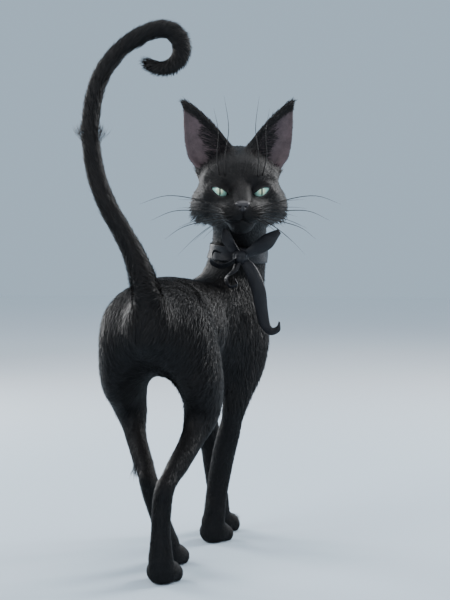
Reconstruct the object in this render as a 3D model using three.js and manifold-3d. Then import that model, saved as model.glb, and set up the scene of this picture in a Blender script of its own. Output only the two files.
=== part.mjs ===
// A life-size, lean, short-haired black cat, walking away and looking back over its right shoulder, with
// its tail raised in a long hook and a ribbon tied round its neck. Millimetres, +Z up, floor at Z 0. The
// hindquarters head along +Y, +X is the cat's right, and the trunk bends to the right towards the
// shoulders.
//
// The flesh is one distance field, blended from sections carried along curves and from ellipsoids. It is
// meshed piece by piece and parted with thin flat cuts. Ears, eyes, nose, whiskers and ribbon are solids of
// their own.
import * as THREE from "three";
import { mergeVertices } from "three/addons/utils/BufferGeometryUtils.js";
import Module from "manifold-3d";

const wasm = await Module();
wasm.setup();

// ---------------------------------------------------------------- driving dimensions
const GAP = 0.3; // left between neighbouring pieces
const HIP_HEIGHT = 226; // middle of the pelvis above the floor
const HIP_HALF_WIDTH = 30; // hip joint from the midline
const PAW_HEIGHT = 11; // middle of a foot above the floor
const TAIL_LENGTH = 346; // along its curve
const EYE_RADIUS = 11;
const EYE_SPREAD = 20.5; // eye centre from the middle of the face
const EAR_HEIGHT = 66;
const EAR_HALF_WIDTH = 24;
const FACING = 11; // degrees the face and the tail's hook turn from straight back
const CHEST_HEADING = 28; // degrees the shoulders turn to the right of the hips
const COLOURS = { coat: 0x0b0a0b, whisker: 0x0e0d0d, nose: 0x17151a, eye: 0x9fc7a4, ribbon: 0x101013 };

const vec = (x, y, z) => new THREE.Vector3(x, y, z);
const radians = THREE.MathUtils.degToRad;
const mix = THREE.MathUtils.lerp;

// ---------------------------------------------------------------- distance fields
// A field takes a point and gives its rough distance in millimetres, negative inside.

// Joins two distances with a fillet of about the given size.
function blend(a, b, fillet) {
  const near = Math.max(fillet - Math.abs(a - b), 0) / fillet;
  return Math.min(a, b) - (near * near * fillet) / 4;
}

// Distance from an ellipsoid of half sizes a, b, c, seen from its own axes.
function ellipsoidDistance(u, v, w, a, b, c) {
  const k0 = Math.hypot(u / a, v / b, w / c);
  const k1 = Math.hypot(u / (a * a), v / (b * b), w / (c * c));
  return k1 < 1e-9 ? -Math.min(a, b, c) : (k0 * (k0 - 1)) / k1;
}

// One section of a limb or trunk: its middle, the compass heading its sides are square to, its half width,
// and its half depth on each side of the middle (above and below a trunk, front and back of a leg).
const section = (x, y, z, heading, side, plus, minus) => ({ at: vec(x, y, z), heading, side, plus, minus });

// Oval sections carried along a smooth curve through their middles: each ring's middle, axes and half sizes.
function ringsAlong(sections, steps = 6) {
  const curve = new THREE.CatmullRomCurve3(sections.map((s) => s.at), false, "centripetal");
  const spans = sections.length - 1;
  const rings = [];
  for (let i = 0; i <= spans * steps; i++) {
    const t = i / (spans * steps);
    const k = Math.min(Math.floor(t * spans), spans - 1);
    const f = THREE.MathUtils.smoothstep(t * spans - k, 0, 1);
    const [from, to] = [sections[k], sections[k + 1]];
    const along = curve.getTangent(t);
    const heading = radians(mix(from.heading, to.heading, f));
    const side = vec(Math.cos(heading), -Math.sin(heading), 0);
    side.addScaledVector(along, -side.dot(along)).normalize();
    const up = side.clone().cross(along);
    rings.push({
      at: curve.getPoint(t), along, side, up,
      a: mix(from.side, to.side, f), plus: mix(from.plus, to.plus, f), minus: mix(from.minus, to.minus, f),
    });
  }
  return rings;
}

// The field of such sections, with round ends.
function carried(sections) {
  const rings = ringsAlong(sections);
  return (x, y, z) => {
    let best = Infinity, ring = 0, share = 0;
    for (let i = 0; i + 1 < rings.length; i++) {
      const p = rings[i].at, q = rings[i + 1].at;
      const dx = q.x - p.x, dy = q.y - p.y, dz = q.z - p.z;
      const ex = x - p.x, ey = y - p.y, ez = z - p.z;
      const h = Math.min(Math.max((ex * dx + ey * dy + ez * dz) / (dx * dx + dy * dy + dz * dz), 0), 1);
      const square = (ex - h * dx) ** 2 + (ey - h * dy) ** 2 + (ez - h * dz) ** 2;
      if (square < best) [best, ring, share] = [square, i, h];
    }
    const r = rings[ring], s = rings[ring + 1];
    const off = (k, value) => value - mix(r.at[k], s.at[k], share);
    const ex = off("x", x), ey = off("y", y), ez = off("z", z);
    const along = (v, w) => ex * mix(v.x, w.x, share) + ey * mix(v.y, w.y, share) + ez * mix(v.z, w.z, share);
    const u = along(r.side, s.side), w = along(r.up, s.up), v = along(r.along, s.along);
    const a = mix(r.a, s.a, share);
    const b = w > 0 ? mix(r.plus, s.plus, share) : mix(r.minus, s.minus, share);
    return ellipsoidDistance(u, v, w, a, Math.min(a, b), b);
  };
}

// ---------------------------------------------------------------- trunk and neck
const trunk = carried([
  section(0, -55, HIP_HEIGHT + 4, 0, 25, 26, 27),
  section(0, -24, HIP_HEIGHT + 3, 0, 42, 46, 42),
  section(1, 40, HIP_HEIGHT + 4, 3, 40, 45, 45),
  section(5, 86, HIP_HEIGHT, 10, 43, 46, 49),
  section(15, 130, HIP_HEIGHT - 6, 20, 46, 49, 56),
  section(32, 172, HIP_HEIGHT - 12, CHEST_HEADING, 41, 52, 55),
  section(50, 202, HIP_HEIGHT - 10, 36, 27, 34, 36),
]);
const neck = carried([
  section(38, 178, 226, CHEST_HEADING, 36, 36, 36),
  section(46, 184, 270, CHEST_HEADING, 32, 33, 34),
  section(52, 176, 312, CHEST_HEADING, 29, 31, 31),
  section(51, 160, 350, CHEST_HEADING, 29, 30, 30),
]);

// ---------------------------------------------------------------- head, in its own axes
// x to the cat's left, y up and z out of the face, from the point midway between the eyes.
const EYES_AT = vec(60, 118, 354);
const FACE_PITCH = 4; // degrees the face looks down
const headAxes = new THREE.Matrix4()
  .makeRotationFromEuler(new THREE.Euler(radians(90 + FACE_PITCH), 0, 0))
  .premultiply(new THREE.Matrix4().makeRotationZ(radians(FACING)))
  .setPosition(EYES_AT);
const intoHead = headAxes.clone().invert();

// Ellipsoids of the skull and face: middle, then half sizes. Those off the midline are mirrored.
const FACE_MASSES = [
  { at: [0, 13, -42], size: [38, 33, 43] }, // braincase
  { at: [0, 14, -17], size: [31, 21, 22] }, // forehead
  { at: [26, -14, -26], size: [20, 21, 25] }, // cheek
  { at: [28, -3, -14], size: [11, 10, 16] }, // cheekbone
  { at: [9.5, -21, 17], size: [12.5, 10.5, 13] }, // whisker pad
  { at: [14, -18, -4], size: [8.5, 9, 15] }, // side of the muzzle
  { at: [0, -12, -8], size: [13, 15, 18] }, // roof of the mouth
  { at: [0, -33.5, 12], size: [10.5, 8, 11] }, // chin
];
// Tapered rods: from, radius, to, radius.
const FACE_RODS = [
  { from: [0, 10, -9], r: 12.5, to: [0, -12, 20], s: 8.5 }, // bridge of the nose
  { from: [0, -24, -24], r: 19, to: [0, -31, 6], s: 10.5 }, // lower jaw
  { from: [12, 12, 2], r: 5.5, to: [29, 13, -10], s: 6.5 }, // brow ridge
  { from: [33, -14, -27], r: 15, to: [48, -30, -25], s: 5 }, // cheek ruff
];

function rodDistance(x, y, z, rod) {
  const [px, py, pz] = rod.from;
  const dx = rod.to[0] - px, dy = rod.to[1] - py, dz = rod.to[2] - pz;
  const h = ((x - px) * dx + (y - py) * dy + (z - pz) * dz) / (dx * dx + dy * dy + dz * dz);
  const t = Math.min(Math.max(h, 0), 1);
  return Math.hypot(x - px - t * dx, y - py - t * dy, z - pz - t * dz) - mix(rod.r, rod.s, t);
}

function head(x, y, z) {
  const m = intoHead.elements;
  const u = Math.abs(m[0] * x + m[4] * y + m[8] * z + m[12]); // the head is the same on both sides
  const v = m[1] * x + m[5] * y + m[9] * z + m[13];
  const w = m[2] * x + m[6] * y + m[10] * z + m[14];
  let d = 1e3;
  for (const { at, size } of FACE_MASSES) {
    d = blend(d, ellipsoidDistance(u - at[0], v - at[1], w - at[2], ...size), 7);
  }
  for (const rod of FACE_RODS) d = blend(d, rodDistance(u, v, w, rod), 7);
  return d;
}

// ---------------------------------------------------------------- legs
// A foot: a low ellipsoid behind four toes, heading the way the leg walks.
const FOOT = { side: 14.5, along: 18, up: 11.5, toeSide: 5.8, toeAlong: 9.5, toeUp: 8 };
function paw(x0, y0, heading) {
  const c = Math.cos(radians(heading)), s = Math.sin(radians(heading));
  return (x, y, z) => {
    const u = (x - x0) * c - (y - y0) * s;
    const v = (x - x0) * s + (y - y0) * c;
    let d = ellipsoidDistance(u, v, z - PAW_HEIGHT, FOOT.side, FOOT.along, FOOT.up);
    for (const [side, ahead] of [[-10.5, 10], [-3.7, 15], [3.7, 15], [10.5, 10]]) {
      const toe = ellipsoidDistance(u - side, v - ahead, z - 7, FOOT.toeSide, FOOT.toeAlong, FOOT.toeUp);
      d = blend(d, toe, 2.5);
    }
    return d;
  };
}

function leg(sections, pawX, pawY, heading) {
  const shaft = carried(sections);
  const foot = paw(pawX, pawY, heading);
  const field = (x, y, z) => blend(shaft(x, y, z), foot(x, y, z), 8);
  return { field, sections };
}

const hindRight = leg([
  section(HIP_HALF_WIDTH, -20, 228, 0, 22, 36, 36),
  section(36, -4, 192, 0, 23, 40, 40),
  section(38, 20, 154, 0, 19, 24, 31),
  section(28, -16, 120, 0, 13.5, 15.5, 17),
  section(15, -49, 93, 0, 10, 11, 13.5),
  section(11, -52, 78, 0, 10.5, 12, 11),
  section(9, -49, 50, 0, 10, 10.5, 9.5),
  section(8, -44, 22, 0, 12.5, 12, 12),
], 8, -32, 2);
const hindLeft = leg([
  section(-HIP_HALF_WIDTH, -20, 228, 0, 22, 36, 36),
  section(-35, 4, 192, 0, 23, 40, 40),
  section(-35, 36, 158, 0, 19, 24, 31),
  section(-24, 14, 122, 0, 13.5, 15.5, 17),
  section(-11, -6, 94, 0, 10, 11, 13.5),
  section(-8, -3, 79, 0, 10.5, 12, 11),
  section(-3, 15, 50, 0, 10, 10.5, 9.5),
  section(1, 33, 22, 0, 12.5, 12, 12),
], 2, 45, 3);
const foreRight = leg([
  section(45, 152, 246, CHEST_HEADING, 14, 20, 22),
  section(64, 166, 194, CHEST_HEADING, 16, 24, 28),
  section(52, 143, 143, CHEST_HEADING, 15.5, 19, 18),
  section(40, 148, 96, 20, 13, 14.5, 14.5),
  section(31, 154, 50, 14, 12, 12, 12),
  section(28, 158, 22, 12, 12.5, 12, 11),
], 27, 169, 12);
const foreLeft = leg([
  section(15, 176, 246, CHEST_HEADING, 14, 20, 22),
  section(18, 203, 196, CHEST_HEADING, 16, 24, 28),
  section(13, 191, 146, CHEST_HEADING, 15.5, 19, 18),
  section(19, 201, 98, 20, 13, 14.5, 14.5),
  section(24, 209, 50, 14, 12, 12, 12),
  section(26, 213, 22, 12, 12.5, 12, 11),
], 27, 224, 14);

// ---------------------------------------------------------------- tail
// The tail lies in an upright plane that faces the way the face does. It is a chain of arcs: a share of its
// length, and the degrees it turns clockwise over that share, starting at TAIL_START degrees from level.
const TAIL_BASE = vec(2, -64, 256);
const TAIL_START = 108;
const TAIL_ARCS = [[0.06, 0], [0.15, -14], [0.33, 44], [0.24, 62], [0.22, 262]];
const TAIL_RADII = [[0, 16], [0.08, 13], [0.2, 11], [0.7, 10], [0.86, 10.5], [0.97, 8.5], [1, 6]];

function tailPoints(step = 6) {
  const across = vec(Math.cos(radians(FACING)), Math.sin(radians(FACING)), 0);
  const at = TAIL_BASE.clone();
  const points = [at.clone()];
  let angle = radians(TAIL_START);
  for (const [share, turn] of TAIL_ARCS) {
    const n = Math.max(1, Math.round((share * TAIL_LENGTH) / step));
    for (let i = 0; i < n; i++) {
      angle -= radians(turn) / n / 2;
      const length = (share * TAIL_LENGTH) / n;
      at.addScaledVector(across, Math.cos(angle) * length);
      at.z += Math.sin(angle) * length;
      angle -= radians(turn) / n / 2;
      points.push(at.clone());
    }
  }
  return points;
}
const tailCurve = new THREE.CatmullRomCurve3(tailPoints(), false, "centripetal");

function tailRadius(t) {
  const i = Math.min(TAIL_RADII.findIndex(([share]) => share > t), TAIL_RADII.length - 1);
  const k = i < 1 ? TAIL_RADII.length - 1 : i;
  const [s0, r0] = TAIL_RADII[k - 1], [s1, r1] = TAIL_RADII[k];
  return mix(r0, r1, THREE.MathUtils.smoothstep(t, s0, s1));
}
const tailRoot = carried([0, 0.05, 0.1, 0.15, 0.2].map((t) => {
  const p = tailCurve.getPointAt(t);
  return section(p.x, p.y, p.z, 0, tailRadius(t), tailRadius(t), tailRadius(t));
}));

// ---------------------------------------------------------------- the whole flesh
const core = (x, y, z) => {
  const body = blend(trunk(x, y, z), neck(x, y, z), 26);
  return blend(blend(body, tailRoot(x, y, z), 14), head(x, y, z), 12);
};
const LEG_FILLET = 22;
const withLeg = (one) => (x, y, z) => blend(core(x, y, z), one(x, y, z), LEG_FILLET);
const legs = { hindRight, hindLeft, foreRight, foreLeft };
const flesh = (x, y, z) => {
  const d = core(x, y, z);
  return Math.min(...Object.values(legs).map(({ field }) => blend(d, field(x, y, z), LEG_FILLET)));
};

// ---------------------------------------------------------------- meshing a field
// Surface nets: each grid cell that the surface crosses gets one point, pulled on to the surface along the
// field's slope, and each grid edge that it crosses gets a square between the four cells round it.
function netted(field, low, high, cell) {
  const n = ["x", "y", "z"].map((k) => Math.ceil((high[k] - low[k]) / cell) + 1);
  const place = (i, k) => low[k] + i * cell;
  const index = (i, j, k) => (k * n[1] + j) * n[0] + i;
  const values = new Float32Array(n[0] * n[1] * n[2]);
  for (let k = 0; k < n[2]; k++)
    for (let j = 0; j < n[1]; j++)
      for (let i = 0; i < n[0]; i++) {
        const rim = i * j * k === 0 || i === n[0] - 1 || j === n[1] - 1 || k === n[2] - 1;
        const d = field(place(i, "x"), place(j, "y"), place(k, "z"));
        values[index(i, j, k)] = rim ? Math.max(d, cell / 2) : d;
      }
  fillCheckers(values, n, index);
  const points = [];
  const pointOf = new Int32Array(values.length).fill(-1);
  const corners = [0, 1].flatMap((c) => [0, 1].flatMap((b) => [0, 1].map((a) => [a, b, c])));
  const edges = corners.flatMap((p) => corners.filter((q) =>
    q[0] + q[1] + q[2] === p[0] + p[1] + p[2] + 1 && q.every((v, m) => v >= p[m])).map((q) => [p, q]));
  for (let k = 0; k + 1 < n[2]; k++)
    for (let j = 0; j + 1 < n[1]; j++)
      for (let i = 0; i + 1 < n[0]; i++) {
        let count = 0;
        const sum = vec(0, 0, 0);
        for (const [p, q] of edges) {
          const a = values[index(i + p[0], j + p[1], k + p[2])];
          const b = values[index(i + q[0], j + q[1], k + q[2])];
          if (a < 0 === b < 0) continue;
          const t = a / (a - b);
          sum.add(vec(mix(p[0], q[0], t), mix(p[1], q[1], t), mix(p[2], q[2], t)));
          count += 1;
        }
        if (!count) continue;
        pointOf[index(i, j, k)] = points.length;
        points.push(vec(i, j, k).addScaledVector(sum, 1 / count).multiplyScalar(cell).add(low));
      }
  for (const p of points) settle(field, p, low, high, cell);
  const faces = netFaces(values, pointOf, points, n, index);
  return new THREE.BufferGeometry().setFromPoints(points).setIndex(faces);
}

// Where two grid corners inside face two outside across a square's diagonals, the surface would touch
// itself along an edge, so the outside corner nearest to the surface is moved just inside, until no such
// square is left.
function fillCheckers(values, n, index) {
  const squares = [[[1, 0, 0], [0, 1, 0]], [[0, 1, 0], [0, 0, 1]], [[0, 0, 1], [1, 0, 0]]];
  let changed = true;
  while (changed) {
    changed = false;
    for (let k = 0; k + 1 < n[2]; k++)
      for (let j = 0; j + 1 < n[1]; j++)
        for (let i = 0; i + 1 < n[0]; i++)
          for (const [p, q] of squares) {
            const ring = [[0, 0], [1, 0], [1, 1], [0, 1]].map(([s, t]) =>
              index(i + s * p[0] + t * q[0], j + s * p[1] + t * q[1], k + s * p[2] + t * q[2]));
            const [a, b, c, d] = ring.map((m) => values[m] < 0);
            if (a !== c || b !== d || a === b) continue;
            const outside = ring.filter((m) => values[m] >= 0).sort((l, m) => values[l] - values[m]);
            values[outside[0]] = -0.01;
            changed = true;
          }
  }
}

// Moves a point on to the field's zero surface, by at most half a cell.
function settle(field, p, low, high, cell) {
  const e = 0.2;
  const inside = ["x", "y", "z"].every((k) => p[k] > low[k] + 1.5 * cell && p[k] < high[k] - 1.5 * cell);
  if (!inside) return;
  for (let pass = 0; pass < 2; pass++) {
    const d = field(p.x, p.y, p.z);
    const slope = vec(
      field(p.x + e, p.y, p.z) - d, field(p.x, p.y + e, p.z) - d, field(p.x, p.y, p.z + e) - d,
    ).divideScalar(e);
    const step = THREE.MathUtils.clamp(d / Math.max(slope.lengthSq(), 0.25), -cell / 4, cell / 4);
    p.addScaledVector(slope, -step);
  }
}

function netFaces(values, pointOf, points, n, index) {
  const faces = [];
  const square = (a, b, c, d) => { // split along its shorter diagonal
    if (points[a].distanceTo(points[c]) < points[b].distanceTo(points[d])) faces.push(a, b, c, a, c, d);
    else faces.push(a, b, d, b, c, d);
  };
  for (let k = 0; k + 1 < n[2]; k++)
    for (let j = 0; j + 1 < n[1]; j++)
      for (let i = 0; i + 1 < n[0]; i++) {
        const here = values[index(i, j, k)] < 0;
        const step = [[1, 0, 0], [0, 1, 0], [0, 0, 1]];
        step.forEach(([a, b, c], m) => {
          if (here === values[index(i + a, j + b, k + c)] < 0) return;
          const [u, v] = [step[(m + 1) % 3], step[(m + 2) % 3]];
          const cellAt = (s, t) => pointOf[index(
            i - s * u[0] - t * v[0], j - s * u[1] - t * v[1], k - s * u[2] - t * v[2])];
          const ring = [cellAt(1, 1), cellAt(0, 1), cellAt(0, 0), cellAt(1, 0)];
          if (here) square(...ring);
          else square(...ring.reverse());
        });
      }
  return faces;
}

// ---------------------------------------------------------------- lofts
// A closed skin over rings of points, all with the same number. It has a fan on each end, or runs round to
// its start.
function skinned(loops, round = false) {
  const sides = loops[0].length;
  const faces = [];
  const points = loops.flat();
  for (let i = 0; i < loops.length - (round ? 0 : 1); i++)
    for (let j = 0; j < sides; j++) {
      const k = (j + 1) % sides, next = (i + 1) % loops.length;
      const [a, b, c, d] = [i * sides + j, i * sides + k, next * sides + k, next * sides + j];
      faces.push(a, b, c, a, c, d);
    }
  if (round) return new THREE.BufferGeometry().setFromPoints(points).setIndex(faces);
  for (const [start, turn] of [[0, 1], [(loops.length - 1) * sides, 0]]) {
    const middle = points.length;
    const end = loops[start ? loops.length - 1 : 0];
    points.push(end.reduce((sum, p) => sum.add(p), vec(0, 0, 0)).divideScalar(sides));
    for (let j = 0; j < sides; j++) {
      const a = start + j, b = start + ((j + 1) % sides);
      faces.push(...(turn ? [b, a, middle] : [a, b, middle]));
    }
  }
  return new THREE.BufferGeometry().setFromPoints(points).setIndex(faces);
}

// The loop of points round an oval ring.
function ovalLoop({ at, side, up, a, plus, minus }, sides) {
  return Array.from({ length: sides }, (_, j) => {
    const angle = (2 * Math.PI * j) / sides;
    const b = Math.sin(angle) > 0 ? plus : minus;
    return at.clone().addScaledVector(side, a * Math.cos(angle)).addScaledVector(up, b * Math.sin(angle));
  });
}

// A closed sheet of varying thickness: middle(u, v) and thickness(u, v) over u from -1 to 1 and v from 0 to
// 1.
function thickSheet(middle, thickness, across, along) {
  const loops = [];
  const e = 0.01;
  for (let i = 0; i <= along; i++) {
    const v = i / along;
    const faces = [[], []];
    for (let j = 0; j <= across; j++) {
      const u = (2 * j) / across - 1;
      const du = middle(u + e, v).sub(middle(u - e, v));
      const dv = middle(u, Math.min(v + e, 1)).sub(middle(u, Math.min(v + e, 1) - 2 * e));
      const half = du.cross(dv).normalize().multiplyScalar(thickness(u, v) / 2);
      faces[0].push(middle(u, v).sub(half));
      faces[1].push(middle(u, v).add(half));
    }
    loops.push([...faces[0], ...faces[1].reverse()]);
  }
  return skinned(loops);
}

// ---------------------------------------------------------------- solids and cuts
function solidOf(geometry) {
  const bare = new THREE.BufferGeometry()
    .setAttribute("position", geometry.getAttribute("position")).setIndex(geometry.index);
  const merged = mergeVertices(bare, 1e-4);
  const build = (triVerts) => new wasm.Manifold(new wasm.Mesh({
    numProp: 3, vertProperties: merged.attributes.position.array, triVerts,
  }));
  const triVerts = new Uint32Array(merged.index.array);
  const solid = build(triVerts);
  return solid.volume() > 0 ? solid : build(triVerts.reverse()); // its faces are turned outwards
}

// A solid's mesh with corners closer than WELD made one, which takes out the slivers that cuts leave.
const WELD = 0.06;
function geometryOf(solid) {
  const mesh = solid.getMesh();
  const at = (i) => mesh.vertProperties.subarray(3 * i, 3 * i + 3);
  const near = (i, j) => at(i).every((v, k) => Math.abs(v - at(j)[k]) < WELD);
  const order = Array.from({ length: mesh.numVert }, (_, i) => i).sort((i, j) => at(i)[0] - at(j)[0]);
  const kept = new Uint32Array(mesh.numVert).map((_, i) => i);
  order.forEach((i, n) => {
    for (let m = n - 1; m >= 0 && at(i)[0] - at(order[m])[0] < WELD; m--) {
      if (near(i, order[m])) kept[i] = kept[order[m]];
    }
  });
  const faces = [];
  for (let i = 0; i < mesh.triVerts.length; i += 3) {
    const [a, b, c] = mesh.triVerts.subarray(i, i + 3).map((v) => kept[v]);
    if (a !== b && b !== c && c !== a) faces.push(a, b, c);
  }
  const indexed = new THREE.BufferGeometry();
  indexed.setAttribute("position", new THREE.BufferAttribute(mesh.vertProperties.slice(), 3));
  const faceted = indexed.setIndex(faces).toNonIndexed();
  faceted.computeVertexNormals();
  return faceted;
}

// A cut is a point and the direction of the side that is kept.
const cut = (x, y, z, nx, ny, nz) => ({ at: vec(x, y, z), keep: vec(nx, ny, nz).normalize() });
const flipped = ({ at, keep }) => ({ at, keep: keep.clone().negate() });
const trimmed = (solid, cuts, back = GAP / 2) => cuts.reduce(
  (s, { at, keep }) => s.trimByPlane(keep.toArray(), keep.dot(at) + back), solid);
// The solid of a field's inside, with the small triangles joined wherever that moves the surface less than
// give.
const meshed = (field, low, high, cell, give) => solidOf(netted(field, low, high, cell)).simplify(give);
const largest = (solid) => solid.decompose().reduce((a, b) => (a.volume() > b.volume() ? a : b));
const everywhere = solidOf(new THREE.BoxGeometry(2000, 2000, 2000));
const FLOOR = cut(0, 0, -GAP / 2, 0, 0, 1);

const NECK_TOP = cut(53, 170, 313, 0, -0.45, 0.89);
const NECK_BASE = cut(44, 182, 258, 0.12, 0.28, 0.95);
const BEHIND_CHEST = cut(10, 116, 220, 0.3, 0.95, 0);
const BEFORE_RUMP = cut(1, 40, 220, 0.05, 1, 0);
const TAIL_LEAVES = 0.05; // share of the tail's length where it parts from the rump
const TAIL_OFF = { at: tailCurve.getPointAt(TAIL_LEAVES), keep: tailCurve.getTangentAt(TAIL_LEAVES) };

const rightOfHips = cut(0, 0, 0, 1, 0, 0);
const rightOfChest = cut(32, 172, 0, Math.cos(radians(CHEST_HEADING)), -Math.sin(radians(CHEST_HEADING)), 0);

// Where each leg leaves the trunk, and where it parts at the knee or elbow and above the foot.
const LEG_CUTS = {
  hindRight: { root: [rightOfHips, cut(20, 0, 205, 0.8, 0, -0.6), cut(0, 74, 180, 0, -1, 0)],
    knee: cut(34, 6, 138, -0.25, -0.5, -0.83), ankle: cut(8, -46, 30, 0, 0.15, -1) },
  hindLeft: { root: [flipped(rightOfHips), cut(-20, 0, 205, -0.8, 0, -0.6), cut(0, 90, 180, 0, -1, 0)],
    knee: cut(-32, 27, 142, 0.25, -0.35, -0.9), ankle: cut(0, 28, 30, 0, 0.4, -1) },
  foreRight: { root: [rightOfChest, cut(48, 160, 205, 0.66, -0.44, -0.6), BEHIND_CHEST],
    knee: cut(50, 144, 138, -0.1, 0.1, -1), ankle: cut(29, 156, 30, 0, 0.1, -1) },
  foreLeft: { root: [flipped(rightOfChest), cut(16, 185, 205, -0.66, 0.44, -0.6), BEHIND_CHEST],
    knee: cut(14, 194, 140, 0.1, 0.1, -1), ankle: cut(25, 212, 30, 0, 0.1, -1) },
};

const material = (color, roughness) => new THREE.MeshStandardMaterial({ color, roughness, metalness: 0 });
const coatMaterial = material(COLOURS.coat, 0.62);
const eyeMaterial = material(COLOURS.eye, 0.1);
const noseMaterial = material(COLOURS.nose, 0.45);
const whiskerMaterial = material(COLOURS.whisker, 0.35);
const ribbonMaterial = material(COLOURS.ribbon, 0.4);
const cat = new THREE.Group();
function add(name, solid, finish = coatMaterial) {
  const mesh = new THREE.Mesh(geometryOf(solid), finish);
  mesh.name = name;
  cat.add(mesh);
}

// Each leg's meshing box for its upper part, and what its two upper pieces are called.
const LEG_PIECES = {
  hindRight: { low: vec(-25, -95, 90), high: vec(80, 90, 262), names: ["hind_right", "thigh", "shank"] },
  hindLeft: { low: vec(-80, -95, 90), high: vec(30, 106, 262), names: ["hind_left", "thigh", "shank"] },
  foreRight: { low: vec(0, 100, 90), high: vec(105, 210, 262), names: ["fore_right", "arm", "forearm"] },
  foreLeft: { low: vec(-45, 105, 90), high: vec(60, 260, 262), names: ["fore_left", "arm", "forearm"] },
};

function addLegs() {
  for (const [key, { field, sections }] of Object.entries(legs)) {
    const { root, knee, ankle } = LEG_CUTS[key];
    const { low, high, names: [leg, upper, lower] } = LEG_PIECES[key];
    const top = meshed(withLeg(field), low, high, 13, 0.9);
    const loops = ringsAlong(sections, 2).map((ring) => ovalLoop(ring, 9));
    const shaft = solidOf(skinned(loops));
    const { x, y } = ankle.at;
    const foot = meshed(field, vec(x - 35, y - 30, -12), vec(x + 35, y + 55, 50), 7, 0.7);
    add(`${leg}_${upper}`, largest(trimmed(top, [...root, flipped(knee)])));
    add(`${leg}_${lower}`, largest(trimmed(shaft, [knee, flipped(ankle)])));
    add(`${leg}_paw`, trimmed(foot, [ankle, FLOOR]));
  }
}

function addTrunk() {
  const legSpaces = Object.values(LEG_CUTS).map(({ root }) => trimmed(everywhere, root, -GAP / 2));
  const body = meshed(flesh, vec(-85, -115, 130), vec(125, 265, 305), 14, 1);
  const bare = legSpaces.reduce((solid, space) => solid.subtract(space), body);
  add("rump", trimmed(bare, [flipped(BEFORE_RUMP), flipped(TAIL_OFF)]));
  add("belly", trimmed(bare, [BEFORE_RUMP, flipped(BEHIND_CHEST)]));
  add("chest", trimmed(bare, [BEHIND_CHEST, flipped(NECK_BASE)]));
  const column = meshed(core, vec(-10, 115, 235), vec(110, 240, 362), 12.5, 0.9);
  add("neck", trimmed(column, [NECK_BASE, flipped(NECK_TOP)]));
}

// Near the rump the tail swells into it: a point on its ring moves out along its spoke on to the flesh.
function flaredRoot(p, middle) {
  const spoke = p.clone().sub(middle).normalize();
  for (let reach = 0; reach < 12 && core(p.x, p.y, p.z) < 0; reach += 0.25) p.addScaledVector(spoke, 0.25);
  return p;
}

// The tail beyond its root, in three lengths.
function addTail() {
  const lengths = { tail_lower: [TAIL_LEAVES, 0.37], tail_middle: [0.37, 0.66], tail_hook: [0.66, 1] };
  const side = vec(-Math.sin(radians(FACING)), Math.cos(radians(FACING)), 0);
  const half = GAP / 2 / TAIL_LENGTH;
  for (const [name, [from, to]] of Object.entries(lengths)) {
    const steps = Math.round((to - from) * (from > 0.6 ? 38 : 22));
    const loops = [];
    for (let i = 0; i <= steps; i++) {
      const t = mix(from + half, to - half, i / steps);
      const up = side.clone().cross(tailCurve.getTangentAt(t));
      const r = tailRadius(t);
      const loop = ovalLoop({ at: tailCurve.getPointAt(t), side, up, a: r, plus: r, minus: r }, 10);
      loops.push(t < 0.2 ? loop.map((p) => flaredRoot(p, tailCurve.getPointAt(t))) : loop);
    }
    if (to === 1) { // a round tip
      const end = loops.at(-1);
      const middle = tailCurve.getPointAt(1);
      for (const [ahead, share] of [[3, 0.86], [5.2, 0.55]]) {
        const shift = tailCurve.getTangentAt(1).multiplyScalar(ahead);
        loops.push(end.map((p) => p.clone().lerp(middle, 1 - share).add(shift)));
      }
    }
    add(name, solidOf(skinned(loops)));
  }
}

// ---------------------------------------------------------------- head pieces
const onHead = (x, y, z) => vec(x, y, z).applyMatrix4(headAxes);

function ball(x, y, z, sizes, around, down, grow = 0) {
  const geometry = new THREE.SphereGeometry(1, around, down);
  geometry.scale(...sizes.map((r) => r + grow)).translate(x, y, z).applyMatrix4(headAxes);
  return solidOf(geometry);
}

// An ear: a cupped leaf that stands on the skull, its hollow turned forwards and a little outwards. Its
// base line slopes down and outwards over the side of the skull.
function earSheet(side) {
  const root = vec(26.5, 27, -29);
  const up = vec(0.42, 0.9, -0.1).normalize();
  const across = vec(0.78, -0.5, -0.3).normalize();
  const open = across.clone().cross(up).normalize();
  const middle = (u, v) => {
    const height = mix(-10, EAR_HEIGHT, v);
    const rise = Math.max(height / EAR_HEIGHT, 0);
    const half = EAR_HALF_WIDTH * (1 - rise ** 1.4) ** 0.9 + 1;
    const cup = 16 * (1 - rise) + 0.8;
    const turn = 1.25 * u;
    const p = root.clone().addScaledVector(up, height).addScaledVector(across, half * Math.sin(turn) / 0.95)
      .addScaledVector(open, cup * (0.4 - Math.cos(turn)) - 3 * rise);
    return onHead(side * p.x, p.y, p.z);
  };
  const thickness = (u, v) => mix(4.2, 1.8, v) * (1 - 0.4 * u * u);
  return solidOf(thickSheet(middle, thickness, 4, 7)).simplify(0.2);
}

// A whisker: a fine tapered tube along a curve through points on the cat's left, mirrored for the right.
const WHISKER = { root: 0.5, tip: 0.25, sides: 3, rings: 7 };
function whisker(points, side) {
  const placed = points.map(([x, y, z]) => onHead(side * x, y, z));
  const curve = new THREE.CatmullRomCurve3(placed, false, "centripetal");
  const loops = Array.from({ length: WHISKER.rings }, (_, i) => {
    const t = i / (WHISKER.rings - 1);
    const along = curve.getTangentAt(t);
    const ahead = vec(0, 1, 0).addScaledVector(along, -along.y).normalize();
    const r = mix(WHISKER.root, WHISKER.tip, t);
    const up = ahead.clone().cross(along);
    return ovalLoop({ at: curve.getPointAt(t), side: ahead, up, a: r, plus: r, minus: r }, WHISKER.sides);
  });
  return solidOf(skinned(loops));
}

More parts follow.
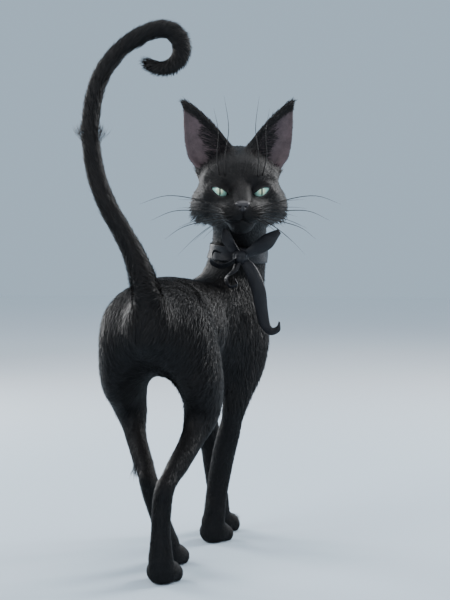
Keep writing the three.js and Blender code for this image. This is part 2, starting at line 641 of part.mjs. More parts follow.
const WHISKERS = {
  whisker_upper: [[14, -18, 20], [40, -8, 20], [72, -4, 10], [99, -13, -3]],
  whisker_middle: [[15, -21, 20], [40, -18, 20], [66, -19, 10], [88, -29, -2]],
  whisker_lower: [[14, -24, 19], [36, -28, 19], [58, -35, 10], [74, -47, 0]],
  brow_whisker_outer: [[21, 14, 1], [24, 34, 11], [23, 58, 13], [27, 80, 7]],
  brow_whisker_inner: [[16, 13, 3], [16, 36, 12], [13, 62, 13], [17, 92, 6]],
};

const EYE_DEPTH = -8.5;
const NOSE = { at: [0, -12.5, 25], size: [7.5, 5, 5] };

function addHead() {
  const low = vec(-10, 70, 285), high = vec(125, 240, 422);
  const skull = meshed(core, low, high, 7.2, 0.75);
  const clear = meshed((x, y, z) => core(x, y, z) - 1.5, low, high, 7.2, 0.2);
  const eyes = { eye_left: 1, eye_right: -1 };
  const eye = (side, grow) => ball(side * EYE_SPREAD, 0, EYE_DEPTH, Array(3).fill(EYE_RADIUS), 10, 7, grow);
  const nose = (grow) => ball(...NOSE.at, NOSE.size, 10, 6, grow);
  const hollows = [nose(GAP), ...Object.values(eyes).map((side) => eye(side, GAP))];
  add("head", hollows.reduce((solid, hollow) => solid.subtract(hollow), trimmed(skull, [NECK_TOP])));
  for (const [name, side] of Object.entries(eyes)) add(name, eye(side, 0), eyeMaterial);
  add("nose", nose(0), noseMaterial);
  for (const [hand, side] of Object.entries({ left: 1, right: -1 })) {
    add(`ear_${hand}`, largest(earSheet(side).subtract(clear)));
    for (const [name, points] of Object.entries(WHISKERS)) {
      add(`${name}_${hand}`, largest(whisker(points, side).subtract(clear)), whiskerMaterial);
    }
  }
}

// ---------------------------------------------------------------- ribbon
const RIBBON = { width: 15, thickness: 1.8, clear: 2.4 };
const KNOT = { at: vec(58, 135, 290), size: [9, 7.5, 6.5] };
const BAND = { middle: vec(49, 179, 293), along: vec(0.1, -0.06, 1).normalize() };

// Moves a point out to where it is clear of the flesh by the given distance, and leaves it if it already is.
function offFlesh(p, clear) {
  for (let i = 0; i < 12; i++) {
    const d = flesh(p.x, p.y, p.z);
    if (d > clear) break;
    const slope = vec(flesh(p.x + 1, p.y, p.z), flesh(p.x, p.y + 1, p.z), flesh(p.x, p.y, p.z + 1)).subScalar(d);
    p.addScaledVector(slope.normalize(), clear - d + 0.05);
  }
  return p;
}

// The band, as rings of four corners round the neck.
function neckBand() {
  const aside = vec(1, 0, 0).addScaledVector(BAND.along, -BAND.along.x).normalize();
  const back = BAND.along.clone().cross(aside);
  const loops = Array.from({ length: 22 }, (_, i) => {
    const angle = (2 * Math.PI * i) / 22;
    const out = aside.clone().multiplyScalar(Math.cos(angle)).addScaledVector(back, Math.sin(angle));
    const corner = (rise, depth) => {
      const base = BAND.middle.clone().addScaledVector(BAND.along, (rise * RIBBON.width) / 2);
      let reach = 15;
      while (reach < 60 && core(...base.clone().addScaledVector(out, reach).toArray()) < 1) reach += 0.25;
      return base.addScaledVector(out, reach + depth);
    };
    return [corner(-1, 0), corner(1, 0), corner(1, RIBBON.thickness), corner(-1, RIBBON.thickness)];
  });
  return solidOf(skinned(loops, true));
}

// A strip of ribbon along a curve through points given from the knot in the head's axes, each with the
// strip's width there and the way its width points.
function ribbonStrip(stations, along) {
  const curve = new THREE.CatmullRomCurve3(stations.map(({ at }) => vec(...at)), false, "centripetal");
  const halves = stations.map(({ wide, width }) => vec(...wide).setLength(width / 2));
  const widths = new THREE.CatmullRomCurve3(halves);
  const place = (p) => p.applyMatrix4(headAxes).sub(onHead(0, 0, 0)).add(KNOT.at);
  const middle = (u, v) => {
    const t = Math.min(Math.max(v, 0), 1);
    return offFlesh(place(curve.getPoint(t).addScaledVector(widths.getPoint(t), u)), RIBBON.clear);
  };
  return solidOf(thickSheet(middle, () => RIBBON.thickness, 2, along));
}

const STRIPS = {
  ribbon_wing_left: { along: 6, stations: [
    { at: [0, 0, 0], wide: [0, 1, 0.3], width: 6 }, { at: [12, 6, 2], wide: [-0.3, 1, 0.3], width: 12 },
    { at: [26, 15, 4], wide: [-0.5, 1, 0], width: 16 }, { at: [38, 25, 0], wide: [-0.8, 1, 0], width: 9 }] },
  ribbon_wing_right: { along: 6, stations: [
    { at: [0, 0, 0], wide: [1, 0, 0.4], width: 6 }, { at: [-9, 9, 3], wide: [1, 0.3, 0.4], width: 10 },
    { at: [-14, 20, 2], wide: [1, 0, 0.3], width: 10 }, { at: [-15, 27, -2], wide: [1, 0, 0.2], width: 7 }] },
  ribbon_curl_outer: { along: 11, stations: [
    { at: [0, 0, 0], wide: [0, 0.5, 1], width: 6 }, { at: [-11, -6, 2], wide: [0, 0.5, 1], width: 10 },
    { at: [-21, -9, 2], wide: [0, 0.5, 1], width: 10 }, { at: [-29, -3, 2], wide: [0.3, 0.4, 1], width: 9 },
    { at: [-27, 5, 2], wide: [0, 0.3, 1], width: 8 }, { at: [-20, 4, 2], wide: [0, 0.3, 1], width: 6 }] },
  ribbon_curl_inner: { along: 11, stations: [
    { at: [0, 0, 0], wide: [1, 0, 0.6], width: 5 }, { at: [-7, -13, 3], wide: [0.5, 0, 1], width: 9 },
    { at: [-15, -21, 4], wide: [0.3, 0.3, 1], width: 9 }, { at: [-12, -30, 4], wide: [0, 0.4, 1], width: 8 },
    { at: [-4, -28, 4], wide: [0, 0.3, 1], width: 7 }, { at: [-6, -22, 4], wide: [0, 0.3, 1], width: 5 }] },
  ribbon_end: { along: 11, stations: [
    { at: [0, 0, 0], wide: [1, 0.4, 0], width: 7 }, { at: [9, -12, 4], wide: [1, 0.4, 0], width: 12 },
    { at: [17, -32, 5], wide: [1, 0.3, 0], width: 14 }, { at: [21, -55, 3], wide: [1, 0.2, 0], width: 12 },
    { at: [25, -72, 2], wide: [1, 0.4, 0], width: 9 }, { at: [34, -68, 4], wide: [0.3, 1, 0], width: 5 }] },
};

function addRibbon() {
  add("ribbon_band", neckBand(), ribbonMaterial);
  const lump = (grow) => {
    const geometry = new THREE.SphereGeometry(1, 10, 7);
    geometry.scale(...KNOT.size.map((r) => r + grow)).applyMatrix4(headAxes);
    const shift = KNOT.at.clone().sub(onHead(0, 0, 0));
    return solidOf(geometry.translate(...shift));
  };
  add("ribbon_knot", lump(0), ribbonMaterial);
  const room = lump(GAP);
  for (const [name, { stations, along }] of Object.entries(STRIPS)) {
    add(name, largest(ribbonStrip(stations, along).subtract(room)), ribbonMaterial);
  }
}

addTrunk();
addLegs();
addTail();
addHead();
addRibbon();

// The origin is on the floor under the middle of the whole cat.
const bounds = new THREE.Box3().setFromObject(cat);
const centre = bounds.getCenter(vec(0, 0, 0));
cat.position.set(-centre.x, -centre.y, 0);
export default cat;
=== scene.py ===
# %% [markdown]
# # A black cat looks back over its shoulder
#
# This lesson finishes a life-size model of a lean, short-haired black cat. The solids that give its
# size and pose come packed as a frame of 42 nodes. Here they get one skin without seams, a coat of
# about a quarter of a million tufts, eyes, nose leather, whiskers, claws and a satin ribbon.
#
# Everything is worked out in millimetres and only turned into metres when a mesh is made. The places
# come from the nodes, so a change of the frame moves every piece with it.

# %% Load the frame
import math

import bpy
import numpy as np
import openvdb
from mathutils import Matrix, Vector


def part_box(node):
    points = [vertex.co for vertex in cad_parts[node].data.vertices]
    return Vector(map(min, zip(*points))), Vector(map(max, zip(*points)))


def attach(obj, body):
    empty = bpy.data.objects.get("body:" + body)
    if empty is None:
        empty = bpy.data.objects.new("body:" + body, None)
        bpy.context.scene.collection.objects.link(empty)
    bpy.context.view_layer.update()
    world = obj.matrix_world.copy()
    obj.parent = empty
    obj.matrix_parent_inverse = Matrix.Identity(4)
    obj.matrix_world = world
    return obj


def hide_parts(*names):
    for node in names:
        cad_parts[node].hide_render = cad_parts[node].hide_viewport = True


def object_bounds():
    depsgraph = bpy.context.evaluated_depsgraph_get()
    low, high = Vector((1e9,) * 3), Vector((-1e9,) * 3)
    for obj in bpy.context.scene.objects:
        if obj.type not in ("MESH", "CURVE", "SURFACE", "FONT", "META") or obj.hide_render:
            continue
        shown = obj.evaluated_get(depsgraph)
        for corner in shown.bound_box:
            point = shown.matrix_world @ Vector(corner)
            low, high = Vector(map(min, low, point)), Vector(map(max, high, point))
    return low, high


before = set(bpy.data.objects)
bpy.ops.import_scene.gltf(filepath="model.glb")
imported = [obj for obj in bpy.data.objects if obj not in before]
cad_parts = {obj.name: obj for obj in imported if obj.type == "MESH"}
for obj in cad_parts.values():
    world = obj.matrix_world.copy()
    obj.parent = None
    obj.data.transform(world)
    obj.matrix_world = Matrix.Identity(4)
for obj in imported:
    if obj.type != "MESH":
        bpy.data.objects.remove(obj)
CAD_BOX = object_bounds()

MM = 0.001
NODES = sorted(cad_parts)
print(len(NODES), "nodes in a box", [round(b - a, 3) for a, b in zip(*CAD_BOX)], "m")

# %% [markdown]
# ## Reading the nodes
#
# A node is a loose set of triangles. Numpy reads all its corners in one call, and corners that share a
# place are made one, so that the triangles close into a solid that can be measured.
#
# The head is turned on the neck, so its own axes are worked out from three nodes: the line between the
# eyeballs, and the direction from there to the nose. Every shape on the head is drawn facing straight
# forwards and carried over by those axes.

# %% Corners, and the head's own axes
NOSE_CENTRE = np.array([0.0, -12.5, 25.0])
EYE_CENTRE = np.array([20.5, 0.0, -8.5])
EYE_RADIUS = 11.0
MIRROR = {"left": np.array([1.0, 1.0, 1.0]), "right": np.array([-1.0, 1.0, 1.0])}


def read_all(items, key, width, kind=np.float32):
    """One property of all items of a mesh, as rows of that width."""
    flat = np.empty(width * len(items), kind)
    items.foreach_get(key, flat)
    return flat.reshape(-1, width)


def corners_and_triangles(mesh):
    """A mesh's corners in metres, and its triangles as three corner numbers each."""
    mesh.calc_loop_triangles()
    return read_all(mesh.vertices, "co", 3), read_all(mesh.loop_triangles, "vertices", 3, np.int32)


def node_solid(name):
    """A node's corners in millimetres with doubles merged, and its triangles."""
    corners, triangles = corners_and_triangles(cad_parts[name].data)
    merged, number = np.unique(np.round(corners * 1e5).astype(np.int64), axis=0, return_inverse=True)
    triangles = number.reshape(-1)[triangles]
    a, b, c = triangles.T
    return merged / 100.0, triangles[(a != b) & (b != c) & (c != a)]


def unit(vectors):
    """Each vector divided by its length."""
    return vectors / np.maximum(np.linalg.norm(vectors, axis=-1, keepdims=True), 1e-9)


def centre_of(name):
    """The mean of a round node's corners, in millimetres."""
    return node_solid(name)[0].mean(axis=0)


def head_frame():
    """The point between the eyes, and rows for the head's left, its up and the way it faces."""
    left, right, nose = centre_of("eye_left"), centre_of("eye_right"), centre_of("nose")
    across = unit(left - right)
    to_nose = nose - (left + right) / 2
    to_nose = unit(to_nose - across * (to_nose @ across))
    square = np.cross(to_nose, across)
    dip = math.atan2(-NOSE_CENTRE[1], NOSE_CENTRE[2] - EYE_CENTRE[2])
    ahead = math.cos(dip) * to_nose + math.sin(dip) * square
    up = math.cos(dip) * square - math.sin(dip) * to_nose
    return (left + right) / 2 - EYE_CENTRE[2] * ahead, np.array([across, up, ahead])


HEAD_AT, HEAD_AXES = head_frame()


def from_head(points):
    """Points given in the head's axes, in the model's."""
    return HEAD_AT + np.asarray(points, float) @ HEAD_AXES


print("between the eyes", HEAD_AT.round(1), "facing", HEAD_AXES[2].round(2))

# %% [markdown]
# ## Shapes as distances
#
# The skin is made from a field: a number for every point of space that says how far it is from the
# surface, negative inside. Fields join softly, so a cheek can flow into a muzzle. A few rounded masses
# and rods are all that is needed, and each is a formula on whole arrays.

# %% Fields and how they join


def smooth_step(value, low, high):
    """0 below low and 1 above high, with a soft S between them."""
    share = np.clip((value - low) / (high - low), 0.0, 1.0)
    return share * share * (3.0 - 2.0 * share)


def join(a, b, fillet):
    """The nearer of two distances, with a fillet of that size where they meet."""
    near = np.maximum(fillet - np.abs(a - b), 0.0) / fillet
    return np.minimum(a, b) - near * near * fillet / 4.0


def carve(a, b, fillet):
    """The first shape without the second, with the edge rounded by the fillet."""
    return -join(-a, b, fillet)


def ellipsoid(u, v, w, centre, size, shrink=0.0):
    """Rough distance: k0 (k0 - 1) / k1, with k0 the scaled radius and k1 its steepness."""
    a, b, c = (s - shrink for s in size)
    u, v, w = u - centre[0], v - centre[1], w - centre[2]
    k0 = np.sqrt((u / a) ** 2 + (v / b) ** 2 + (w / c) ** 2)
    k1 = np.sqrt((u / a**2) ** 2 + (v / b**2) ** 2 + (w / c**2) ** 2)
    return k0 * (k0 - 1.0) / np.maximum(k1, 1e-6)


def rod(u, v, w, start, end, radii, shrink=0.0):
    """Distance from the line between two points, less a radius that changes evenly along it."""
    (px, py, pz), (dx, dy, dz) = start, np.subtract(end, start)
    share = ((u - px) * dx + (v - py) * dy + (w - pz) * dz) / (dx * dx + dy * dy + dz * dz)
    share = np.clip(share, 0.0, 1.0)
    away = np.sqrt((u - px - share * dx) ** 2 + (v - py - share * dy) ** 2 + (w - pz - share * dz) ** 2)
    return away - (radii[0] + (radii[1] - radii[0]) * share) + shrink


def level_set(points, faces, low, shape, cell, band):
    """Distance from a closed mesh on a regular grid, cut off at band cells: negative inside."""
    sides = {"triangles" if faces.shape[1] == 3 else "quads": faces.astype(np.uint32)}
    step = openvdb.createLinearTransform(cell)
    places = (points - low).astype(np.float64)
    grid = openvdb.FloatGrid.createLevelSetFromPolygons(places, transform=step, halfWidth=band, **sides)
    values = np.empty(shape, np.float32)
    grid.copyToArray(values, ijk=(0, 0, 0))
    return values


def surface_of(values, limit):
    """Points in grid steps, and squares, of the surface where a grid of distances crosses zero."""
    grid = openvdb.FloatGrid(limit)
    grid.copyFromArray(np.clip(values, -limit, limit))
    points, _, squares = grid.convertToPolygons(0.0, 0.0)
    return points, squares


def facing(k, values):
    """Values that lie along axis k, shaped so that they combine with a block of the grid."""
    return values.reshape([-1 if k == m else 1 for m in range(3)])


# %% [markdown]
# ## The body's flesh as one field
#
# Trunk, limbs, neck and tail are parted by thin cuts. Each node becomes a grid of distances, and the
# nearest node wins at each point. Growing them by a little closes the cuts, and the surface of the
# whole is measured again so that nothing is left of the walls inside. A blur then takes away the
# facets: a wide one on the trunk, a fine one on legs and tail.
#
# The same pass keeps which node is nearest to each point. The coat uses that later.

# %% Distances from the nodes of flesh
NOT_FLESH = ("eye_", "ear_", "nose", "ribbon_", "whisker", "brow_")
FLESH = [n for n in NODES if not n.startswith(NOT_FLESH)]
LOW, HIGH = (np.array(corner) / MM for corner in CAD_BOX)
CELL, BAND, MARGIN = 1.8, 12, 24.0
CLOSING = 0.35
BLUR_FINE, BLUR_WIDE = 2.6, 7.5
BLUR_WIDENS = (95.0, 140.0)
TAIL_FADE_UP, TAIL_FADE_BACK = (-22.0, 4.0), (106.0, 124.0)
GRID_LOW = LOW - MARGIN
GRID_SHAPE = tuple(np.ceil((HIGH + MARGIN - GRID_LOW) / CELL).astype(int))


def nearest_nodes():
    """For each grid point the distance from the nearest node of flesh, and that node's number."""
    best = np.full(GRID_SHAPE, BAND * CELL, np.float32)
    which = np.zeros(GRID_SHAPE, np.uint8)
    for number, name in enumerate(FLESH):
        points, triangles = node_solid(name)
        first = np.maximum(np.floor((points.min(0) - GRID_LOW) / CELL).astype(int) - BAND, 0)
        last = np.minimum(np.ceil((points.max(0) - GRID_LOW) / CELL).astype(int) + BAND, GRID_SHAPE)
        part = tuple(slice(a, b) for a, b in zip(first, last))
        values = level_set(points, triangles, GRID_LOW + first * CELL, last - first, CELL, BAND)
        nearer = values < best[part]
        best[part][nearer] = values[nearer]
        which[part][nearer] = number
    return best, which


def blurred(values, width):
    """A Gaussian blur of that width in millimetres, along one axis after another."""
    reach = int(np.ceil(2.6 * width / CELL))
    steps = np.arange(-reach, reach + 1)
    weights = np.exp(-0.5 * (steps * CELL / width) ** 2)
    weights /= weights.sum()
    for axis in range(3):
        padded = np.pad(values, [(reach, reach) if k == axis else (0, 0) for k in range(3)], mode="edge")
        total = np.zeros_like(values)
        for step, weight in zip(steps, weights):
            window = [slice(None)] * 3
            window[axis] = slice(reach + step, reach + step + values.shape[axis])
            total += np.float32(weight) * padded[tuple(window)]
        values = total
    return values


def body_field():
    """The closed and smoothed flesh, blurred widely where the trunk is and finely on the thin parts:
    the legs below the belly, and the tail, which rises behind the rump."""
    best, which = nearest_nodes()
    points, squares = surface_of(best - CLOSING, 8.0)
    whole = level_set(points * CELL + GRID_LOW, squares, GRID_LOW, GRID_SHAPE, CELL, BAND)
    y, z = (facing(k, GRID_LOW[k] + CELL * np.arange(GRID_SHAPE[k])) for k in (1, 2))
    tail_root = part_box("tail_lower")[0][2] / MM
    on_tail = smooth_step(z, *(tail_root + up for up in TAIL_FADE_UP)) * smooth_step(-y, *TAIL_FADE_BACK)
    broad = smooth_step(z, *BLUR_WIDENS) * (1.0 - on_tail)
    fine, wide = blurred(whole, BLUR_FINE), blurred(whole, BLUR_WIDE)
    return fine + (wide - fine) * broad.astype(np.float32) + CLOSING, which


BODY, NEAREST = body_field()
print("body grid", BODY.shape, "inside", round(float((BODY < 0).sum() * CELL**3 / 1e6), 2), "litres")

# %% [markdown]
# ## Room for fine detail
#
# A face needs steps under a millimetre and a back does not. So the field is carried over to a new
# grid whose steps are fine through the head and at the feet and coarse between them. Going one axis at
# a time keeps millions of points quick.
#
# The nodes reach to the tips of the coat, so the skin lies deeper by the coat's depth: about a
# millimetre and a half at the feet and three on the back.

# %% A grid with fine and coarse steps
COARSE, FINE, FOOT_STEP = 2.1, 0.9, 1.3
EDGE = 5.0
FOOT_TOP = 36.0


def head_box():
    """The lowest and the highest corner of a box round the head and the ears."""
    boxes = np.array([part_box(node) for node in ("head", "ear_left", "ear_right")]) / MM
    return np.array([boxes[:, 0].min(axis=0) - 3.0, boxes[:, 1].max(axis=0) + 3.0])


def stepped(low, high, bands):
    """Places from low to high with coarse steps, and with each band's own step inside it."""
    places = [low]
    while places[-1] < high:
        places.append(places[-1] + next((s for a, b, s in bands if a <= places[-1] < b), COARSE))
    return np.array(places)


HEAD_BOX = head_box()
BANDS = [
    [(*HEAD_BOX[:, 0], FINE), (LOW[0], HIGH[0], FOOT_STEP)],
    [(*HEAD_BOX[:, 1], FINE)],
    [(HEAD_BOX[0, 2], HIGH[2] + EDGE, FINE), (-EDGE, FOOT_TOP, FOOT_STEP)],
]
AXES = [stepped(LOW[k] - EDGE, HIGH[k] + EDGE, BANDS[k]) for k in range(3)]


def block(low, high):
    """The part of the grid between two corners, and its places along each axis."""
    part = tuple(slice(*np.searchsorted(AXES[k], (low[k], high[k]))) for k in range(3))
    return part, [facing(k, AXES[k][part[k]]) for k in range(3)]


def carried_over(values):
    """The body's grid read at the new grid's places, by straight lines along one axis after another."""
    for k in range(3):
        place = np.clip((AXES[k] - GRID_LOW[k]) / CELL, 0.0, GRID_SHAPE[k] - 1.001)
        before = place.astype(int)
        near, far = np.take(values, before, axis=k), np.take(values, before + 1, axis=k)
        values = near + (far - near) * facing(k, (place - before).astype(np.float32))
    return values


COAT_DEPTH = (1.5 + 1.6 * smooth_step(facing(2, AXES[2]), 25.0, 170.0)).astype(np.float32)
SKIN = carried_over(BODY) + COAT_DEPTH
print("skin grid", SKIN.shape, round(SKIN.nbytes / 1e6), "MB")

# %% [markdown]
# ## Bones and tendons under the skin
#
# A lean cat shows the ridges of its shoulder blades, the corners of its hips, its knees, the points of
# its elbows and hocks, and a hollow on each side of the tendon above the hock. Each is a low ridge or
# groove along a line: the field is lowered or raised by a bell of the distance from that line. Loose
# skin runs from each knee to the belly, as a rod with a wide fillet.

# %% Ridges and hollows
RELIEF = [
    ((17, 94, 205), (-2, 68, 262), 9, 2.6), ((-51, 123, 205), (-41, 93, 262), 9, 2.6),  # shoulder blades
    ((-23, -70, 266), (-20, -58, 262), 10, 1.8), ((-77, -70, 266), (-79, -58, 262), 10, 1.8),  # hips
    ((-11, -40, 166), (-11, -42, 152), 9, 2.2), ((-84, -22, 168), (-84, -24, 154), 9, 2.2),  # knees
    ((-36, -144, 94), (-36, -141, 88), 6, 3.2), ((-60, -102, 95), (-60, -99, 89), 6, 3.2),  # hocks
    ((-6, 44, 154), (-4, 48, 140), 10, 2.6), ((-45, 93, 156), (-43, 97, 142), 10, 2.6),  # elbows
    ((-21, 62, 45), (-21, 63, 39), 5, 2.4), ((-28, 115, 45), (-28, 116, 39), 5, 2.4),  # wrists
    ((-23, -131, 102), (-13, -112, 126), 5, -1.8), ((-41, -131, 102), (-31, -112, 126), 5, -1.8),
    ((-52, -92, 103), (-62, -79, 126), 5, -1.8), ((-70, -92, 103), (-80, -79, 126), 5, -1.8),
]
FLANK_FOLDS = [((-13, -53, 172), (-23, -25, 190)), ((-84, -31, 172), (-72, -3, 188))]
FOLD_RADII, FOLD_FILLET, FOLD_ROOM = (7.5, 3.5), 15.0, 26.0


def round_line(start, end, room):
    """The block of the grid round a line, with that much room on every side."""
    return block(np.minimum(start, end) - room, np.maximum(start, end) + room)


def show_relief():
    """Lowers the field by rise * exp(-(distance from the line / width)^2) near each line of the relief,
    and joins on the folds of the flanks."""
    for start, end, width, rise in RELIEF:
        part, places = round_line(start, end, 2.5 * width)
        off = rod(*places, start, end, (0.0, 0.0))
        SKIN[part] -= (rise * np.exp(-((off / width) ** 2))).astype(np.float32)
    for start, end in FLANK_FOLDS:
        part, places = round_line(start, end, FOLD_ROOM)
        SKIN[part] = join(SKIN[part], rod(*places, start, end, FOLD_RADII), FOLD_FILLET)


show_relief()
print(len(RELIEF), "ridges and hollows,", len(FLANK_FOLDS), "folds")

# %% [markdown]
# ## The head
#
# A cat's skull is a round braincase with a short muzzle. The forehead runs down a straight bridge to
# the nose, two whisker pads stand beside it over a small chin, and the cheeks end in short ruffs. Each
# of these is one rounded mass or one tapered rod, drawn for one side: taking the distance from the
# middle as positive makes both sides at once.
#
# The lids are a thin cover over each eyeball with an almond slit cut through it. The slit slants up
# towards the ear, as in a cat that looks at you over its shoulder. A groove parts the two whisker pads
# under the nose and runs out on each side as the closed mouth.

# %% Masses of the face
FUR_ON_FACE = 1.3
UPPER_FACE = [
    ((0, 11, -41), (37.5, 32, 42)),  # braincase
    ((0, 14, -17), (31, 21, 22)),  # forehead
    ((26, -14, -26), (20, 21, 25)),  # cheek
    ((28, -3, -14), (11, 10, 16)),  # cheekbone
    ((27, 7, -25), (11, 14, 18)),  # temple
    ((20, -13.5, -10), (10, 11.5, 15)),  # between the cheek and the muzzle
    ((8.8, -21.5, 15), (12.0, 9.4, 13.0)),  # whisker pad
    ((15, -19, -4), (10.5, 10.5, 18)),  # side of the muzzle
    ((0, -21, 13), (8.5, 8.0, 11.5)),  # lip under the nose
    ((0, -12, -8), (13, 15, 18)),  # roof of the mouth
]
UPPER_RODS = [
    ((0, 10, -9), (0, -12, 20), (12.5, 8.5)),  # bridge of the nose
    ((12, 11.5, 0), (28, 12, -12), (5.0, 6.0)),  # brow ridge
    ((17, -9, -5), (9, -15, 13), (8.0, 7.5)),  # from the cheekbone to the pad
    ((32, -14, -27), (45, -28, -26), (15, 7.5)),  # cheek ruff
]
CHIN = ((0, -31.6, 8.5), (11.5, 7.8, 12.0))
JAW = ((0, -24, -24), (0, -29.5, 4), (19, 11.5))
FACE_FILLET, LIP_FILLET, LID_FILLET = 8.0, 6.0, 3.0
MOUTH = [(0.0, -25.2), (3.2, -28.2), (7.5, -29.4), (12.0, -28.2), (16.5, -25.6), (20.5, -23.4)]
LIP = [(0.0, -17.0), (0.0, -26.0)]
TEAR = [(12.2, -3.6), (9.0, -5.6), (7.2, -8.6)]
GROOVES = [(1.1, MOUTH, 1.0), (1.0, LIP, 0.9), (0.7, TEAR, 1.6)]  # depth, line seen from the front, width
LID_RADIUS = 12.3
SLIT_TILT = math.radians(20.0)
TILT_COS, TILT_SIN = math.cos(SLIT_TILT), math.sin(SLIT_TILT)
SLIT_HALF, SLIT_UP, SLIT_DOWN = 9.6, 3.1, 4.7
SLIT_BACK, SLIT_EDGE = 2.5, 0.8
MUZZLE_FADE = (-14.0, 6.0)


def lid_heights(a):
    """Where the upper and the lower lid cross a place along the slit: two arches, the lower one fuller
    towards the nose, that close at the ends."""
    share = np.clip(a / SLIT_HALF, -1.0, 1.0)
    arch = 1.0 - share * share
    return SLIT_UP * arch * (1.0 + 0.25 * share), -SLIT_DOWN * arch * (1.0 - 0.35 * share)


def off_slit(u, v):
    """How far a place lies outside the slit, and where along the slit: its axes are turned by the tilt."""
    a, b = u - EYE_CENTRE[0], v - EYE_CENTRE[1]
    a, b = a * TILT_COS + b * TILT_SIN, b * TILT_COS - a * TILT_SIN
    top, bottom = lid_heights(a)
    return np.maximum(b - top, bottom - b), a


def groove(u, v, line, width):
    """A bell of the distance from a line of points, seen from the front."""
    nearest = np.full(np.broadcast(u, v).shape, 1e9, np.float32)
    for (ax, ay), (bx, by) in zip(line, line[1:]):
        dx, dy = bx - ax, by - ay
        share = np.clip(((u - ax) * dx + (v - ay) * dy) / (dx * dx + dy * dy), 0.0, 1.0)
        nearest = np.minimum(nearest, (u - ax - share * dx) ** 2 + (v - ay - share * dy) ** 2)
    return np.exp(-nearest / width**2)


def face(left, v, w):
    """The head without ears: masses joined softly, the chin with a crease, then grooves, lids and slits."""
    u = np.abs(left)
    upper = np.full(np.broadcast(u, v, w).shape, 99.0, np.float32)
    for centre, size in UPPER_FACE:
        upper = join(upper, ellipsoid(u, v, w, centre, size, FUR_ON_FACE), FACE_FILLET)
    for start, end, radii in UPPER_RODS:
        upper = join(upper, rod(u, v, w, start, end, radii, FUR_ON_FACE), FACE_FILLET)
    lower = join(ellipsoid(u, v, w, *CHIN, FUR_ON_FACE), rod(u, v, w, *JAW, FUR_ON_FACE), FACE_FILLET)
    front = smooth_step(w, *MUZZLE_FADE)
    distance = join(upper, lower, FACE_FILLET + (LIP_FILLET - FACE_FILLET) * front)
    for depth, line, width in GROOVES:
        distance = distance + depth * front * groove(u, v, line, width)
    ball = np.sqrt((u - EYE_CENTRE[0]) ** 2 + (v - EYE_CENTRE[1]) ** 2 + (w - EYE_CENTRE[2]) ** 2)
    distance = join(distance, ball - LID_RADIUS, LID_FILLET)
    return carve(distance, np.maximum(off_slit(u, v)[0], EYE_CENTRE[2] + SLIT_BACK - w), SLIT_EDGE)


def head_block():
    """The part of the grid that holds the head, with its places in the head's own axes."""
    part, places = block(*HEAD_BOX)
    x, y, z = (place - at for place, at in zip(places, HEAD_AT))
    return part, [(x * row[0] + y * row[1] + z * row[2]).astype(np.float32) for row in HEAD_AXES]


HEAD_PART, (HEAD_U, HEAD_V, HEAD_W) = head_block()
print("head block", HEAD_U.shape, "nose in head axes", ((centre_of("nose") - HEAD_AT) @ HEAD_AXES.T).round(2))

# %% [markdown]
# ## Ears
#
# An ear is a cupped leaf of thin gristle, widest just above its root and pointed at the top. Its middle
# surface is a function of two parameters, one across the leaf and one up it. Moved out by half its
# thickness on both sides it closes into a thick sheet, whose distances then join the head with a soft
# fillet. A hollow bored into its root makes the dark way into the ear.

# %% The ear's sheet
EAR_HEIGHT, EAR_HALF_WIDTH = 64.5, 23.6
EAR_SUNK = 12.0
EAR_ROOT = np.array([26.5, 27.0, -29.0])
EAR_UP = unit(np.array([0.42, 0.9, -0.1]))
EAR_ACROSS = unit(np.array([0.78, -0.5, -0.3]))
EAR_OPEN = unit(np.cross(EAR_ACROSS, EAR_UP))
MUSCLE_FILLET, EAR_FILLET, HOLLOW_FILLET, EAR_EDGE = 9.0, 7.0, 5.0, 1.5
FACE_SLANT, FACE_SHIFT, FACE_FADE = 0.85, 30.0, (-18.0, 4.0)


def ear_half_width(rise):
    """Half the leaf's width: it shrinks as (1 - rise^1.4)^0.9 up the ear."""
    return EAR_HALF_WIDTH * (1.0 - rise**1.4) ** 0.9 + 0.7


def ear_middle(u, v):
    """The leaf's middle: u from -1 to 1 round the cup, v from 0 to 1 up the ear. The cup is an arc that
    flattens towards the tip, and the outer rim is tucked in below and bulges a little above that."""
    height = -EAR_SUNK + (EAR_HEIGHT + EAR_SUNK) * v
    rise = np.maximum(height / EAR_HEIGHT, 0.0)
    cup = 16.0 * (1.0 - rise) + 0.8
    turn = 1.25 * u
    sideways = ear_half_width(rise) * np.sin(turn) / 0.95
    tucked = 0.42 * np.clip(u, 0.0, 1.0) * (1.0 - smooth_step(height, -EAR_SUNK, 34.0))
    pouch = 1.2 * np.exp(-(((u - 0.93) / 0.12) ** 2) - ((v - 0.36) / 0.08) ** 2)
    sideways = sideways * (1.0 - tucked) + pouch
    forwards = cup * (0.4 - np.cos(turn)) - 3.0 * rise
    return (EAR_ROOT + height[..., None] * EAR_UP + sideways[..., None] * EAR_ACROSS
            + forwards[..., None] * EAR_OPEN)


